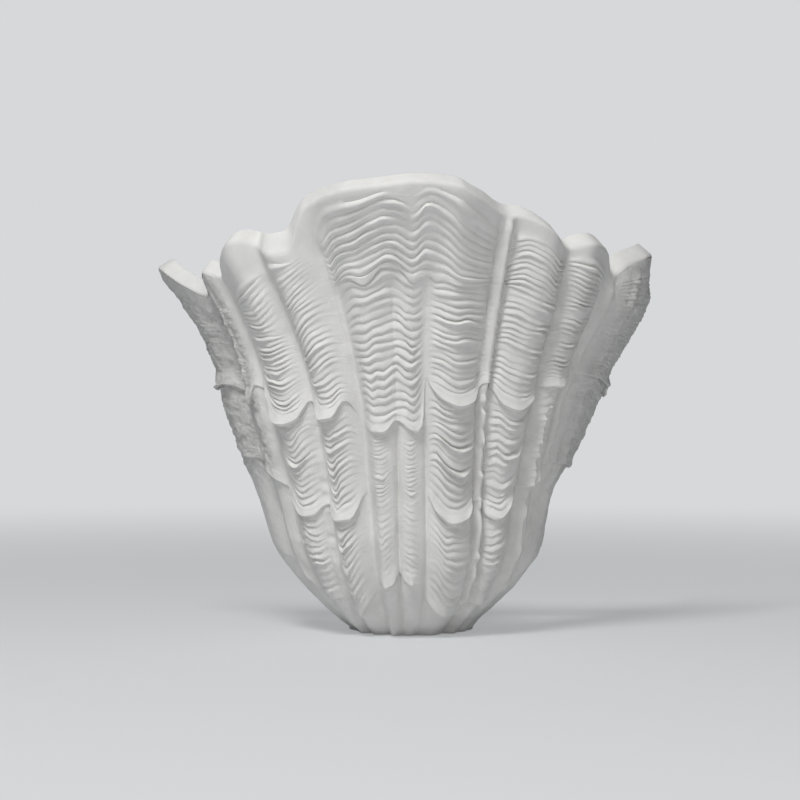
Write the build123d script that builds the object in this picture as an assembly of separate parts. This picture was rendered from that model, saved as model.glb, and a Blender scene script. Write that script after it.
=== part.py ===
from build123d import *
import os
from math import asin, cos, exp, hypot, pi, radians, sin, sqrt, tan

# Shell wall sconce: a cast plaster half-bowl, shaped as a ribbed clam shell, hooked on a steel wall plate
# that carries an upright lampholder with a round bulb, a terminal block and its leads.
#
# The wall is the plane Y = 0, the front of the shell looks along -Y and +Z is up. The origin is on the
# wall, at the middle of the wall plate's back face. Angles round the shell start at +X, on the wall, pass
# the front at 90 degrees and end on the wall at 180 degrees. Heights named "level" are measured up from the
# shell's foot.
# All sizes are in millimetres.

# Plaster shell: its main sizes.
shell_width = 338.5  # along the wall, at the level of its two upper ends
shell_height = 300.0
shell_depth = 166.0  # of the plain bowl under the ribs, at the top
foot_below_origin = 150.0
wall_thickness = 11.0
wall_gain_at_foot = 6.0  # the casting is this much thicker where it turns in to the foot
floor_thickness = 11.0
floor_recess = 2.0

# The plain bowl, in millimetres of a shell 338.5 wide, 300 high and 166 deep, scaled to the main
# sizes: half-width on each side and depth, by level above the foot.
bowl_levels = [0, 7, 18, 34, 58, 95, 125, 150, 180, 200, 225, 250, 302]
right_half_widths = [46, 50, 62, 78, 93, 101.5, 118, 130, 142.5, 154, 166.5, 168.5, 172]
left_half_widths = [37, 45, 57, 72.5, 90, 102.5, 115, 124, 131, 139, 154, 170, 173]
bowl_depths = [50, 58, 69, 80, 90, 98, 105, 111.5, 119.5, 125, 133, 143, 166]
drawn_width_at = 250

# Rib lines, from the right end on the wall round to the left end. Each has its angle at the rim, at
# mid_level and at low_level, the relief of the surface at the rim (a crest stands out, a valley goes in)
# and how sharply the surface turns in a valley. A place on the shell is counted in rib lines, so 6.5 is
# half way from line 6 to line 7.
mid_level = 158.0
low_level = 25.0
rib_lines = [
    (0.0, 0.0, 0.0, 0.0, 0.0),
    (6.0, 8.0, 8.0, 1.5, 0.0),
    (14.0, 21.0, 18.0, 3.0, 0.0),
    (28.0, 34.0, 26.0, -4.5, 0.6),
    (40.5, 40.5, 33.0, 3.5, 0.0),
    (46.0, 46.0, 40.0, -3.0, 0.9),
    (53.5, 54.0, 49.0, 5.0, 0.0),
    (64.0, 64.0, 56.0, -6.0, 0.5),
    (78.0, 75.5, 70.0, 5.5, 0.0),
    (85.0, 84.0, 80.5, -0.5, 0.3),
    (89.5, 88.5, 87.0, 3.0, 0.0),
    (94.5, 93.0, 92.5, -1.0, 0.9),
    (102.5, 100.0, 98.5, 4.5, 0.0),
    (114.5, 105.5, 104.0, -7.0, 0.3),
    (125.5, 115.5, 115.0, 4.5, 0.0),
    (130.5, 122.0, 122.0, -3.5, 0.2),
    (135.6, 130.5, 131.0, 5.5, 0.0),
    (143.6, 140.0, 140.0, -3.0, 0.5),
    (148.3, 146.0, 147.0, -0.5, 0.0),
    (155.0, 152.0, 152.0, -5.0, 0.2),
    (168.0, 162.0, 162.0, 1.5, 0.0),
    (180.0, 180.0, 180.0, 0.0, 0.0),
]
relief_at_foot = 0.55  # share of a rib's rim relief that is left at the foot
crease_fade = [205, 265]  # a sharp valley softens between these levels

# Rim: place, level of its inner edge, and drop from there to its outer edge.
rim_line = [
    (0, 260.5, 3), (0.7, 263.3, 6), (1.5, 265.3, 8.5), (2, 264, 9), (2.3, 261.5, 9), (2.63, 257, 8.5),
    (3, 248, 8), (3.13, 254, 8), (3.26, 261, 8), (3.5, 265, 8.5), (4, 267, 8.5), (4.6, 265, 8),
    (5, 262.8, 7.5), (5.25, 262.9, 7.5), (5.6, 265.2, 7), (6, 270.5, 7), (6.25, 274.5, 7), (6.5, 278.7, 7.5),
    (6.8, 282.3, 8.5), (7.1, 283, 9), (7.26, 284.5, 9), (7.52, 289.5, 8.5), (7.79, 293.5, 7.5),
    (8, 296.8, 7), (8.5, 299.3, 7), (9, 300, 7), (10, 299.7, 6.8), (11, 298, 6.8), (12, 295.5, 7),
    (12.42, 293.5, 7.5), (12.7, 291.8, 8.5), (12.9, 290.3, 9), (13.07, 288, 9.5), (13.22, 284, 11),
    (13.35, 278, 13), (13.5, 270, 15), (13.65, 266, 15), (14, 265, 14), (14.8, 266.5, 11),
    (15.5, 268.3, 8.5), (16, 265.5, 8), (16.6, 256.8, 8), (17, 246.5, 8), (17.4, 248.6, 8.5),
    (18, 250.8, 9), (18.5, 245.2, 9.5), (19, 238, 10), (19.25, 239, 10), (19.62, 246.5, 10),
    (20, 254, 8), (20.5, 255.5, 6), (21, 254.5, 3.5),
]

# Growth ledges, from the lowest up. Each point is a place, the level of the ledge's free edge there and how
# far it stands out.
ledges = [
    [
        (0, 60, 0.4), (1, 57, 1.0), (2, 46, 1.2), (3, 36, 1.5), (4, 30, 2.4), (5, 26, 1.5), (6, 22, 3.4),
        (6.6, 23, 2.8), (7, 23, 1.2), (7.4, 14, 3.0), (8, 15, 4.0), (8.6, 21, 2.8), (9, 28, 0.6),
        (9.3, 37, 1.0), (10, 36, 2.8), (10.6, 40, 1.6), (11, 45, 1.4), (11.5, 36, 3.2), (12, 35, 3.2),
        (12.6, 38, 0.8),
        (13, 34, 0.4), (13.5, 24, 1.6), (14, 14.5, 4.0), (14.7, 18, 2.8), (15, 27, 1.0), (16, 25, 2.0),
        (17, 26, 1.2), (18, 40, 1.5), (19, 48, 0.6), (20, 56, 0.8), (21, 60, 0.4),
    ],
    [
        (0, 116, 0.6), (1, 112, 2.0), (2, 113, 1.8), (3, 113, 1.6), (4, 102, 2.8), (5, 101, 1.2),
        (5.4, 96, 2.2), (5.8, 85, 4.4), (6.3, 80, 5.0), (6.7, 83, 4.4), (7, 93, 1.2), (7.2, 92, 2.0),
        (7.5, 81, 4.6), (8, 78, 5.0), (8.5, 83, 4.4), (8.9, 96, 0.8), (9.3, 97, 0.4), (10, 92, 0.4),
        (11, 100, 0.4), (12, 92, 0.4), (13, 98, 0.4), (13.2, 96, 1.0), (13.6, 80, 4.0), (14.2, 79, 4.6),
        (14.6, 82, 3.8), (14.9, 90, 1.5), (15.2, 88, 2.2), (15.6, 82, 3.6), (16.1, 82, 4.2), (16.5, 88, 3.4),
        (17, 99, 2.0), (18, 108, 2.8), (18.9, 118, 1.6), (20, 120, 1.2), (21, 118, 0.6),
    ],
    [
        (0, 163, 1.2), (0.8, 161, 2.8), (1.4, 169, 2.4), (2, 172, 2.4), (3, 176, 1.6), (4, 167, 3.0),
        (4.7, 167, 2.6), (5, 168, 1.2), (5.3, 158, 3.4), (6, 151, 5.2), (6.5, 155, 4.2), (6.9, 169, 1.4),
        (7.08, 169, 2.0), (7.35, 158, 4.6), (7.8, 154, 5.4), (8.3, 158, 4.6), (8.7, 166, 2.8),
        (8.92, 173, 0.6),
        (9.12, 141, 2.4), (9.5, 137, 3.6), (10, 139, 3.4), (11, 149, 2.4), (11.6, 137, 3.6), (12, 137, 3.6),
        (12.7, 140, 1.4), (13, 143, 0.4), (13.45, 158, 1.8), (13.8, 147, 4.4), (14.3, 145, 5.4),
        (14.8, 153, 3.6), (15.1, 158, 1.6), (15.5, 146, 4.6), (16.0, 142, 5.4), (16.5, 144, 4.8),
        (17.1, 166, 1.6), (17.5, 168, 1.2), (18.1, 155, 3.8), (18.6, 163, 1.8), (19, 165, 1.6),
        (19.9, 169, 3.8), (20.5, 166, 4.0), (21, 165, 2.2),
    ],
    [
        (0, 215, 0.4), (2, 214, 0.4), (4, 218, 0.4), (6, 222, 0.4), (6.9, 232, 0.4), (7.15, 233, 0.8),
        (7.8, 229.5, 2.0), (8.4, 233, 1.1), (8.6, 232, 0.4), (8.92, 236, 0.8), (9.4, 235, 1.7),
        (9.8, 232, 1.7),
        (10.6, 240, 1.4), (11.28, 241, 2.0), (11.95, 231, 2.0), (12.48, 235, 1.3), (12.8, 233, 0.4),
        (14, 222, 0.4), (16, 216, 0.4), (18, 212, 0.4), (21, 212, 0.4),
    ],
]
ledge_flare = 13.0  # the jut dies away as a square over this height above the free edge
flare_steps = [0.3, 0.7]  # shares of that height where the outline turns
ledge_root_rise = 0.35  # the undercut's root is this share of the jut above the free edge
ledge_lip_drop = 0.1
tall_bands = [0, 1]  # the bands above these ledges turn once more, half way up
inner_shares = [0.78, 0.58, 0.4, 0.22, 0.1]  # levels where the inside turns, as shares of the rim's level

# Narrow ridges that run up two of the valleys: place, height, half-width, depth of the groove on each side,
# lowest and highest level.
ridges = [
    (3, 2.4, 3.0, 1.2, 60, 246),
    (7, 3.8, 3.8, 1.5, 14, 280),
]
ridge_fade = 14.0

# Slices stand at the rim's stations, on the rib lines, and at these places beside a ridge or on a wide rib.
extra_slice_places = [6.65, 6.9, 8.92, 9.12, 9.5, 10.5, 11.5, 14.4]

# Hanger bosses, cast inside the shell, and the steel hangers that are screwed on them.
boss_inner_x = 76.0
boss_bottom_z = 4.0
boss_height = 40.0
boss_in_wall = 6.0  # how deep the boss runs into the shell's wall
boss_depth = 17.0
boss_corner = 4.0
hanger_middle_x = 90.0
hanger_width = 16.0
hanger_thickness = 2.0
hanger_corner = 3.0
hanger_above_boss_foot = 34.0
hanger_screw_spacing = 16.0
hanger_screw_radius = 1.75
hanger_screw_head = 3.2
hanger_screw_head_height = 1.4
hanger_screw_length = 14.0

# Wall plate: one pressing with a square centre, two arms, and an upturned hook under the end of each arm.
plate_thickness = 2.0
plate_width = 90.0
plate_height = 90.0
plate_corner = 8.0
arm_height = 24.0
hook_width = 20.0
hook_channel = 4.0  # between the plate's front and the hook's tab
hook_engagement = 12.0
hook_bend = 2.5
hook_play = 1.0  # between the plate's front and the hanger
hanger_seat_gap = 0.3
wall_hole_spacing = 124.0
wall_hole_radius = 2.5
fixing_clearance = 0.1
cutter_length = 30.0  # cutters for through holes are longer than any piece that they pass
cutter_start = 1.0

# Rubber grommet in the plate's cable hole.
cable_hole_z = 29.0
cable_hole_radius = 6.5
grommet_bore_radius = 4.0
grommet_flange_radius = 9.0
grommet_flange_thickness = 1.6

# Lamp arm: a bent strap with a level leg, held on the plate by two countersunk bolts and nuts.
strap_width = 22.0
strap_thickness = 2.0
strap_top_z = -15.0
leg_top_z = -60.0
strap_reach = 72.0
strap_bend = 4.0
strap_corner = 5.0
arm_bolts_above_plate_end = [22.0, 6.0]
arm_bolt_radius = 2.0
arm_bolt_head = 3.7
arm_bolt_cone = 1.7
arm_bolt_length = 9.5
arm_nut_width = 7.0
arm_nut_height = 3.2

# Lampholder on its threaded nipple.
holder_y = -56.0
nipple_radius = 5.0
nipple_bore = 4.0
nipple_below_leg = 7.0
nipple_above_leg = 8.0
nipple_nut_width = 14.0
nipple_nut_height = 4.0
holder_radius = 14.0
holder_foot_radius = 11.0
holder_wall = 2.0
holder_cap_cone = 3.0
holder_cap_floor = 4.0
holder_cap_height = 18.0
holder_skirt = 4.0  # the body's lower skirt, which screws into the cap
holder_body_height = 30.0
holder_mouth_radius = 12.5
holder_taper = 4.0
core_radius = 10.5
core_height = 6.0
core_below_step = 2.0
sleeve_wall = 0.5
sleeve_height = 17.0
sleeve_fit = 0.1
tongue_width = 4.0
tongue_thickness = 0.5
tongue_length = 9.0
tongue_rise = 3.0

# Round bulb on a 14 mm screw cap.
cap_radius = 6.9
cap_height = 17.0
cap_thread_depth = 0.45
cap_in_sleeve_gap = 0.5
insulator_height = 3.0
insulator_foot_radius = 3.4
button_radius = 2.3
button_height = 1.6
bulb_radius = 22.5
bulb_length = 78.0
bulb_shoulder_radius = 16.0
collar_step = 0.8  # the collar is this much wider than the cap
bulb_seat_gap = 0.3
collar_steps = 3
globe_steps = 7  # rings of the globe's outline

# Terminal block: three ways, each with a brass tube and two clamping screws.
way_count = 3
way_pitch = 12.0
block_margin = 6.0  # from an outer way's middle to the block's end
block_depth = 12.0
block_height = 17.0
block_middle_z = 4.0
block_corner = 1.0
tower_width = 6.4
tower_height = 3.5
tube_width = 4.8
tube_opening = 3.0
tube_from_back = 5.0
clamp_screw_radius = 1.8
clamp_screw_length = 8.0
clamp_slot = 0.6
clamp_screw_from_end = 4.5
block_screw_radius = 1.5
block_screw_head = 2.1
block_screw_head_height = 1.8

# Leads: insulated wires of one size, each with its route from the terminal block.
lead_radius = 1.1
lead_sides = 6
lead_run_share = 0.45  # share of a route's shorter run that a bend may take up
lamp_lead_spread = 1.7  # from the nipple's middle to each lamp lead
lead_beside_strap = 4.0
lead_below_block = 7.0
lead_under_leg = 31.0  # lowest point of the lamp leads, below the leg
lead_behind_nipple = 14.0
lead_turn_side = 7.0

# Earth screw with its washer and ring tag on the plate.
earth_x = 36.0
earth_z = -10.0
earth_screw_radius = 2.0
earth_head_radius = 3.6
earth_head_height = 2.4
earth_washer_radius = 4.4
earth_washer_thickness = 0.8
tag_radius = 4.0
tag_thickness = 0.8
tag_barrel_radius = 1.9
tag_barrel_length = 6.0


def save(node, shape):
    """Writes one named piece, which may hold several equal solids."""
    shape.label = node
    export_step(shape, f"parts/{node}.step")


def group(solids):
    """Several equal solids as one piece."""
    return Compound(children=list(solids))


def upright(radius, bottom, height, x=0.0, y=0.0):
    """A cylinder along Z that stands on the height bottom."""
    return Pos(x, y, bottom) * Cylinder(radius, height, align=(Align.CENTER, Align.CENTER, Align.MIN))


def forward(radius, back, length, x=0.0, z=0.0, tip_radius=None):
    """A cylinder or cone square to the wall, from y = back towards the front."""
    low = (Align.CENTER, Align.CENTER, Align.MIN)
    if tip_radius is None:
        shape = Cylinder(radius, length, align=low)
    else:
        shape = Cone(radius, tip_radius, length, align=low)
    return Pos(x, back, z) * Rot(90, 0, 0) * shape


def slab(x0, x1, y0, y1, z0, z1):
    """A block between two corners."""
    return Pos((x0 + x1) / 2, (y0 + y1) / 2, (z0 + z1) / 2) * Box(abs(x1 - x0), abs(y1 - y0), abs(z1 - z0))


def hexagon(width, height):
    """A nut's body, its width across flats, standing on the XY plane."""
    return extrude(RegularPolygon(width / sqrt(3), 6), amount=height)


def turned(points, x=0.0, y=0.0):
    """A body turned about an upright axis from its half outline of (radius, z) points."""
    return Pos(x, y, 0) * revolve(make_face(Plane.XZ * Polyline(*points, close=True)), Axis.Z)


def both_sides(shape):
    """A piece and its mirror image across the middle plane."""
    return [shape, mirror(shape, Plane.YZ)]


# ---- plaster shell ----


def smooth_read(stops, values, place):
    """Reading of a table by a cubic that passes through every stop and never overshoots."""
    place = min(max(place, stops[0]), stops[-1])
    slopes = [(d - c) / (b - a) for a, b, c, d in zip(stops, stops[1:], values, values[1:])]
    tangents = [0.0]
    for before, after in zip(slopes, slopes[1:]):
        tangents.append(2 * before * after / (before + after) if before * after > 0 else 0.0)
    tangents.append(0.0)
    at = max(k for k in range(len(slopes)) if place >= stops[k])
    gap = stops[at + 1] - stops[at]
    t = (place - stops[at]) / gap
    turn = gap * t * (1 - t) * (tangents[at] * (1 - t) - tangents[at + 1] * t)
    return values[at] + slopes[at] * gap * ease(t) + turn


def read_column(table, place, column):
    """Reading of one column of a table whose first column holds the places."""
    stops = [row[0] for row in table]
    return smooth_read(stops, [row[column] for row in table], place)


def ease(value):
    """Rises smoothly from 0 to 1 while the value goes from 0 to 1."""
    t = min(max(value, 0), 1)
    return t * t * (3 - 2 * t)


def half_width_at(side, level):
    """Half-width of the plain bowl at a level, on the right (1) or on the left (-1)."""
    return smooth_read(bowl_levels, right_half_widths if side > 0 else left_half_widths, level)


def width_scale():
    """How much wider the shell is than the tables draw it."""
    drawn = half_width_at(1, drawn_width_at) + half_width_at(-1, drawn_width_at)
    return shell_width / drawn


def height_scale():
    """How much higher the shell is than the tables draw it."""
    return shell_height / max(level for place, level, drop in rim_line)


def angle_at(place, level):
    """Direction in degrees of a place at a level: straight between its low, middle and rim angles."""
    lines = range(len(rib_lines))
    rim, mid, low = [smooth_read(lines, [line[k] for line in rib_lines], place) for k in range(3)]
    rim_level = read_column(rim_line, place, 1)
    lower = min(max((level - low_level) / (mid_level - low_level), 0), 1)
    upper = max((level - mid_level) / (rim_level - mid_level), 0)
    return low + (mid - low) * lower + (rim - mid) * upper


def relief_at(place, level):
    """Relief across the ribs: half a cosine from valley to crest, or a quarter sine from a sharp valley."""
    at = min(int(place), len(rib_lines) - 2)
    t = place - at
    first, second = rib_lines[at][3], rib_lines[at + 1][3]
    rising = second > first
    crease = rib_lines[at][4] if rising else rib_lines[at + 1][4]
    low, high = crease_fade
    crease *= 1 - 0.9 * ease((level - low) / (high - low))
    quarter = sin(pi * t / 2) if rising else 1 - cos(pi * t / 2)
    share = (1 - crease) * (1 - cos(pi * t)) / 2 + crease * quarter
    fade = relief_at_foot + (1 - relief_at_foot) * level / read_column(rim_line, place, 1)
    return (first + (second - first) * share) * fade


def ridge_height(place, level, radius):
    """Bell curves across the narrow ridges, each with a shallow groove on both sides."""
    total = 0.0
    for line, height, half_width, groove, low, high in ridges:
        away = radians(angle_at(place, level) - angle_at(line, level)) * radius
        reach = abs(away) / half_width
        bell = height * exp(-(reach**2)) - groove * exp(-((reach - 1.9) ** 2) / 0.5)
        total += bell * ease((level - low) / ridge_fade) * ease((high - level) / ridge_fade)
    return total


def bowl_radius(place, level):
    """Radius of the ribbed bowl: an ellipse's radius in the direction of the place, and the ribs' relief."""
    angle = radians(angle_at(place, level))
    half_width = half_width_at(1 if cos(angle) > 0 else -1, level)
    depth = smooth_read(bowl_levels, bowl_depths, level)
    return 1 / hypot(cos(angle) / half_width, sin(angle) / depth) + relief_at(place, level)


def wall_offset(level):
    """Thickness of the wall, measured level, which grows towards the foot."""
    return wall_thickness + wall_gain_at_foot * exp(-level / low_level)


def shell_point(place, level, offset, ridged=False):
    """A point at a place and level, offset outwards from the ribbed bowl, scaled to the main sizes."""
    radius = bowl_radius(place, level)
    if ridged:
        radius += ridge_height(place, level, radius)
    radius += offset
    angle = radians(angle_at(place, level))
    depth_scale = shell_depth / bowl_depths[-1]
    x = radius * cos(angle) * width_scale()
    y = -radius * sin(angle) * depth_scale
    return Vector(x, y, level * height_scale() - foot_below_origin)


def shell_slice(place):
    """Closed outline of the wall at one place: four ledges outside, a leaning rim, a smooth inside."""
    rim = read_column(rim_line, place, 1)
    outer_edge = rim - read_column(rim_line, place, 2)
    edges_and_juts = [(read_column(ledge, place, 1), read_column(ledge, place, 2)) for ledge in ledges]
    roots = [edge + ledge_root_rise * jut for edge, jut in edges_and_juts] + [outer_edge]
    points = [shell_point(place, share * roots[0], 0, True) for share in (0, 0.5, 1)]
    for number, ((edge, jut), top) in enumerate(zip(edges_and_juts, roots[1:])):
        points.append(shell_point(place, edge - ledge_lip_drop * jut, 0.9 * jut, True))
        for step in flare_steps:
            points.append(shell_point(place, edge + step * ledge_flare, jut * (1 - step) ** 2, True))
        if number in tall_bands:
            points.append(shell_point(place, (edge + ledge_flare + top) / 2, 0, True))
        points.append(shell_point(place, top, 0, True))
    inner_levels = [rim, *[share * rim for share in inner_shares], floor_thickness, 0.0]
    points += [shell_point(place, level, -wall_offset(level)) for level in inner_levels]
    return Wire.make_polygon(points, close=True)


def slice_places():
    """Places of all slices round the shell."""
    stations = [row[0] for row in rim_line]
    return sorted({*stations, *range(len(rib_lines)), *extra_slice_places})


def shell_floor():
    """The level floor that closes the bowl just above its foot, its edge buried half way into the wall."""
    buried = -wall_offset(0) / 2
    points = [shell_point(place, floor_thickness / 2, buried) for place in range(len(rib_lines))]
    outline = Polyline(*[(point.X, point.Y) for point in points], close=True)
    low = floor_recess * height_scale() - foot_below_origin
    high = floor_thickness * height_scale() - foot_below_origin
    return extrude(make_face(Plane.XY.offset(low) * outline), amount=high - low)


def hanger_screw_heights():
    """Heights of the two screws through each hanger."""
    middle = boss_bottom_z + boss_height / 2
    return [middle - hanger_screw_spacing / 2, middle + hanger_screw_spacing / 2]


def hanger_front_y():
    """The plane where the hangers lie on the bosses."""
    return -plate_thickness - hook_play - hanger_thickness


def hanger_boss(side):
    """The boss on one side: its outer end leans with the wall and ends inside it."""
    levels = [(z + foot_below_origin) / height_scale() for z in (boss_bottom_z, boss_bottom_z + boss_height)]
    wall_x = [half_width_at(side, level) * width_scale() - boss_in_wall for level in levels]
    outline = Polyline(
        (boss_inner_x, boss_bottom_z),
        (wall_x[0], boss_bottom_z),
        (wall_x[1], boss_bottom_z + boss_height),
        (boss_inner_x, boss_bottom_z + boss_height),
        close=True,
    )
    face = make_face(outline)
    face = fillet(face.vertices().sort_by(Axis.X)[:2], boss_corner)
    boss = extrude(Plane.XZ.offset(-hanger_front_y()) * face, amount=boss_depth)
    hole_length = hanger_screw_length - hanger_thickness + 1
    for z in hanger_screw_heights():
        boss -= forward(
            hanger_screw_radius + fixing_clearance, hanger_front_y(), hole_length, hanger_middle_x, z
        )
    return boss if side > 0 else mirror(boss, Plane.YZ)


def plaster_shell():
    """The casting: slices joined round the bowl, with its floor and two bosses."""
    wall = Solid.make_loft([shell_slice(place) for place in slice_places()], ruled=True)
    return Part(wall.wrapped) + shell_floor() + hanger_boss(1) + hanger_boss(-1)


# ---- hangers ----


def hanger():
    """The right hanger: a plate whose tongue drops into the wall plate's hook."""
    tongue_bottom = hook_floor_z() + hanger_seat_gap
    top = boss_bottom_z + hanger_above_boss_foot
    face = Pos(hanger_middle_x, (top + tongue_bottom) / 2) * RectangleRounded(
        hanger_width, top - tongue_bottom, hanger_corner
    )
    back = hanger_front_y() + hanger_thickness
    plate = extrude(Plane.XZ.offset(-back) * face, amount=hanger_thickness)
    for z in hanger_screw_heights():
        plate -= forward(
            hanger_screw_radius + fixing_clearance, back + 1, hanger_thickness + 2, hanger_middle_x, z
        )
    return plate


def countersunk_hole(radius, head, cone, back, x, z):
    """The cutter for a countersunk screw whose head is flush with the plane y = back."""
    wide = fixing_clearance
    cutter = forward(radius + wide, back + cutter_start, cutter_length, x, z)
    return cutter + forward(head + wide, back, cone, x, z, tip_radius=radius + wide)


def countersunk_screw(radius, head, cone, length, back, x, z):
    """A countersunk screw whose head is flush with the plane y = back."""
    return forward(radius, back, length, x, z) + forward(head, back, cone, x, z, tip_radius=radius)


def hanger_screws():
    """Four screws through the hangers into the bosses, with low heads that clear the wall."""
    back = hanger_front_y() + hanger_thickness
    screws = []
    for z in hanger_screw_heights():
        shank = forward(hanger_screw_radius, back, hanger_screw_length, hanger_middle_x, z)
        head = forward(
            hanger_screw_head, back + hanger_screw_head_height, hanger_screw_head_height, hanger_middle_x, z
        )
        screws += both_sides(shank + head)
    return group(screws)


# ---- wall plate ----


def hook_floor_z():
    """Top of the hook's floor, where a hanger's tongue rests."""
    return -arm_height / 2 + plate_thickness


def hook():
    """The right hook: the arm's lower edge bent forward and up into a tab."""
    back = -plate_thickness
    front = back - hook_channel - plate_thickness
    bottom = -arm_height / 2
    top = hook_floor_z() + hook_engagement
    outline = Polyline(
        (back, bottom),
        (front, bottom),
        (front, top),
        (front + plate_thickness, top),
        (front + plate_thickness, bottom + plate_thickness),
        (back, bottom + plate_thickness),
        close=True,
    )
    face = make_face(Plane.YZ * outline)
    bend = face.vertices().sort_by(Axis.Z)[:2].sort_by(Axis.Y)[0]
    face = fillet([bend], hook_bend)
    return Pos(hanger_middle_x - hook_width / 2, 0, 0) * extrude(face, amount=hook_width)


def wall_plate():
    """The pressing on the wall, with every hole that its fastenings need."""
    arm_end = hanger_middle_x + hook_width / 2
    centre = RectangleRounded(plate_width, plate_height, plate_corner)
    arms = Rectangle(2 * arm_end, arm_height)
    face = centre + arms
    plate = extrude(Plane.XZ * face, amount=plate_thickness)
    for one_hook in both_sides(hook()):
        plate += one_hook
    for x in (-wall_hole_spacing / 2, wall_hole_spacing / 2):
        plate -= forward(wall_hole_radius, 1, plate_thickness + 2, x)
    plate -= forward(cable_hole_radius, 1, plate_thickness + 2, 0, cable_hole_z)
    for z in arm_bolt_heights():
        plate -= countersunk_hole(arm_bolt_radius, arm_bolt_head, arm_bolt_cone, 0, 0, z)
    for x in block_screw_places():
        plate -= forward(block_screw_radius + fixing_clearance, 1, plate_thickness + 2, x, block_middle_z)
    return plate - forward(earth_screw_radius + fixing_clearance, 1, plate_thickness + 2, earth_x, earth_z)


def cable_grommet():
    """A rubber sleeve through the plate, flush behind and flanged in front."""
    flange_front = -plate_thickness - grommet_flange_thickness
    sleeve = forward(cable_hole_radius - fixing_clearance, 0, plate_thickness, 0, cable_hole_z)
    flange = forward(grommet_flange_radius, -plate_thickness, grommet_flange_thickness, 0, cable_hole_z)
    return sleeve + flange - forward(grommet_bore_radius, 1, 1 - flange_front + 1, 0, cable_hole_z)


# ---- lamp arm ----


def arm_bolt_heights():
    """Heights of the strap's bolts, near the lower end of the plate."""
    return [rise - plate_height / 2 for rise in arm_bolts_above_plate_end]


def lamp_arm():
    """A strap bent to an L, with holes for its bolts and for the lampholder's nipple."""
    back = -plate_thickness
    leg_bottom = leg_top_z - strap_thickness
    outline = Polyline(
        (back, strap_top_z),
        (back - strap_thickness, strap_top_z),
        (back - strap_thickness, leg_top_z),
        (-strap_reach, leg_top_z),
        (-strap_reach, leg_bottom),
        (back, leg_bottom),
        close=True,
    )
    face = make_face(Plane.YZ * outline)
    outer = face.vertices().sort_by(Axis.Y)[-2:].sort_by(Axis.Z)[0]
    inner = face.vertices().sort_by_distance((0, back - strap_thickness, leg_top_z))[0]
    face = fillet([outer], strap_bend)
    inner = face.vertices().sort_by_distance((0, back - strap_thickness, leg_top_z))[0]
    face = fillet([inner], strap_bend - strap_thickness)
    strap = Pos(-strap_width / 2, 0, 0) * extrude(face, amount=strap_width)
    tip_corners = strap.edges().filter_by(Axis.Z).sort_by(Axis.Y)[:2]
    strap = fillet(tip_corners, strap_corner)
    for z in arm_bolt_heights():
        strap -= forward(arm_bolt_radius + fixing_clearance, 0, 8, 0, z)
    hole = nipple_radius + fixing_clearance
    return strap - upright(hole, leg_bottom - 1, strap_thickness + 2, 0, holder_y)


def arm_bolts():
    """Two bolts, countersunk flush with the back of the plate."""
    return group(
        countersunk_screw(arm_bolt_radius, arm_bolt_head, arm_bolt_cone, arm_bolt_length, 0, 0, z)
        for z in arm_bolt_heights()
    )


def arm_nuts():
    """The bolts' nuts on the front of the strap."""
    front = -plate_thickness - strap_thickness
    nut = hexagon(arm_nut_width, arm_nut_height) - upright(arm_bolt_radius + fixing_clearance, -1, 9)
    return group(Pos(0, front, z) * Rot(90, 0, 0) * nut for z in arm_bolt_heights())


# ---- lampholder ----


def holder_step_z():
    """The step inside the holder's body that its core stops against."""
    return leg_top_z + holder_cap_height - holder_skirt + core_below_step + core_height


def sleeve_radius():
    """Inside radius of the threaded contact sleeve."""
    return cap_radius + cap_in_sleeve_gap


def holder_nipple():
    """The hollow threaded tube through the strap."""
    bottom = leg_top_z - strap_thickness - nipple_below_leg
    height = nipple_below_leg + strap_thickness + nipple_above_leg
    tube = upright(nipple_radius, bottom, height, 0, holder_y)
    return tube - upright(nipple_bore, bottom - 1, height + 2, 0, holder_y)


def nipple_nut():
    """The nut that draws the holder down on the strap."""
    nut = hexagon(nipple_nut_width, nipple_nut_height)
    nut -= upright(nipple_radius + fixing_clearance, -1, nipple_nut_height + 2)
    return Pos(0, holder_y, leg_top_z - strap_thickness - nipple_nut_height) * nut


def holder_cap():
    """The lower cup of the holder, screwed on the nipple."""
    foot = leg_top_z
    top = foot + holder_cap_height
    cone_top = foot + holder_cap_cone
    hub = nipple_radius + fixing_clearance
    outline = [
        (hub, foot),
        (holder_foot_radius, foot),
        (holder_radius, cone_top),
        (holder_radius, top),
        (holder_radius - holder_wall, top),
        (holder_radius - holder_wall, foot + holder_cap_floor),
        (hub, foot + holder_cap_floor),
    ]
    return turned(outline, 0, holder_y)


def holder_body():
    """The upper part of the holder: a skirt in the cap and a tapered mouth round the contact sleeve."""
    base = leg_top_z + holder_cap_height
    top = base + holder_body_height
    skirt = holder_radius - holder_wall - fixing_clearance
    bore = sleeve_radius() + sleeve_wall + sleeve_fit
    outline = [
        (core_radius + sleeve_fit, base - holder_skirt),
        (skirt, base - holder_skirt),
        (skirt, base),
        (holder_radius, base),
        (holder_radius, top - holder_taper),
        (holder_mouth_radius, top),
        (bore, top),
        (bore, holder_step_z()),
        (core_radius + sleeve_fit, holder_step_z()),
    ]
    return turned(outline, 0, holder_y)


def holder_core():
    """The insulating disc that carries both contacts and takes the leads from below."""
    return upright(core_radius, holder_step_z() - core_height, core_height, 0, holder_y)


def side_contact():
    """The sleeve that takes the bulb's screw cap."""
    foot = holder_step_z()
    sleeve = upright(sleeve_radius() + sleeve_wall, foot, sleeve_height, 0, holder_y)
    return sleeve - upright(sleeve_radius(), foot - 1, sleeve_height + 2, 0, holder_y)


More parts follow.
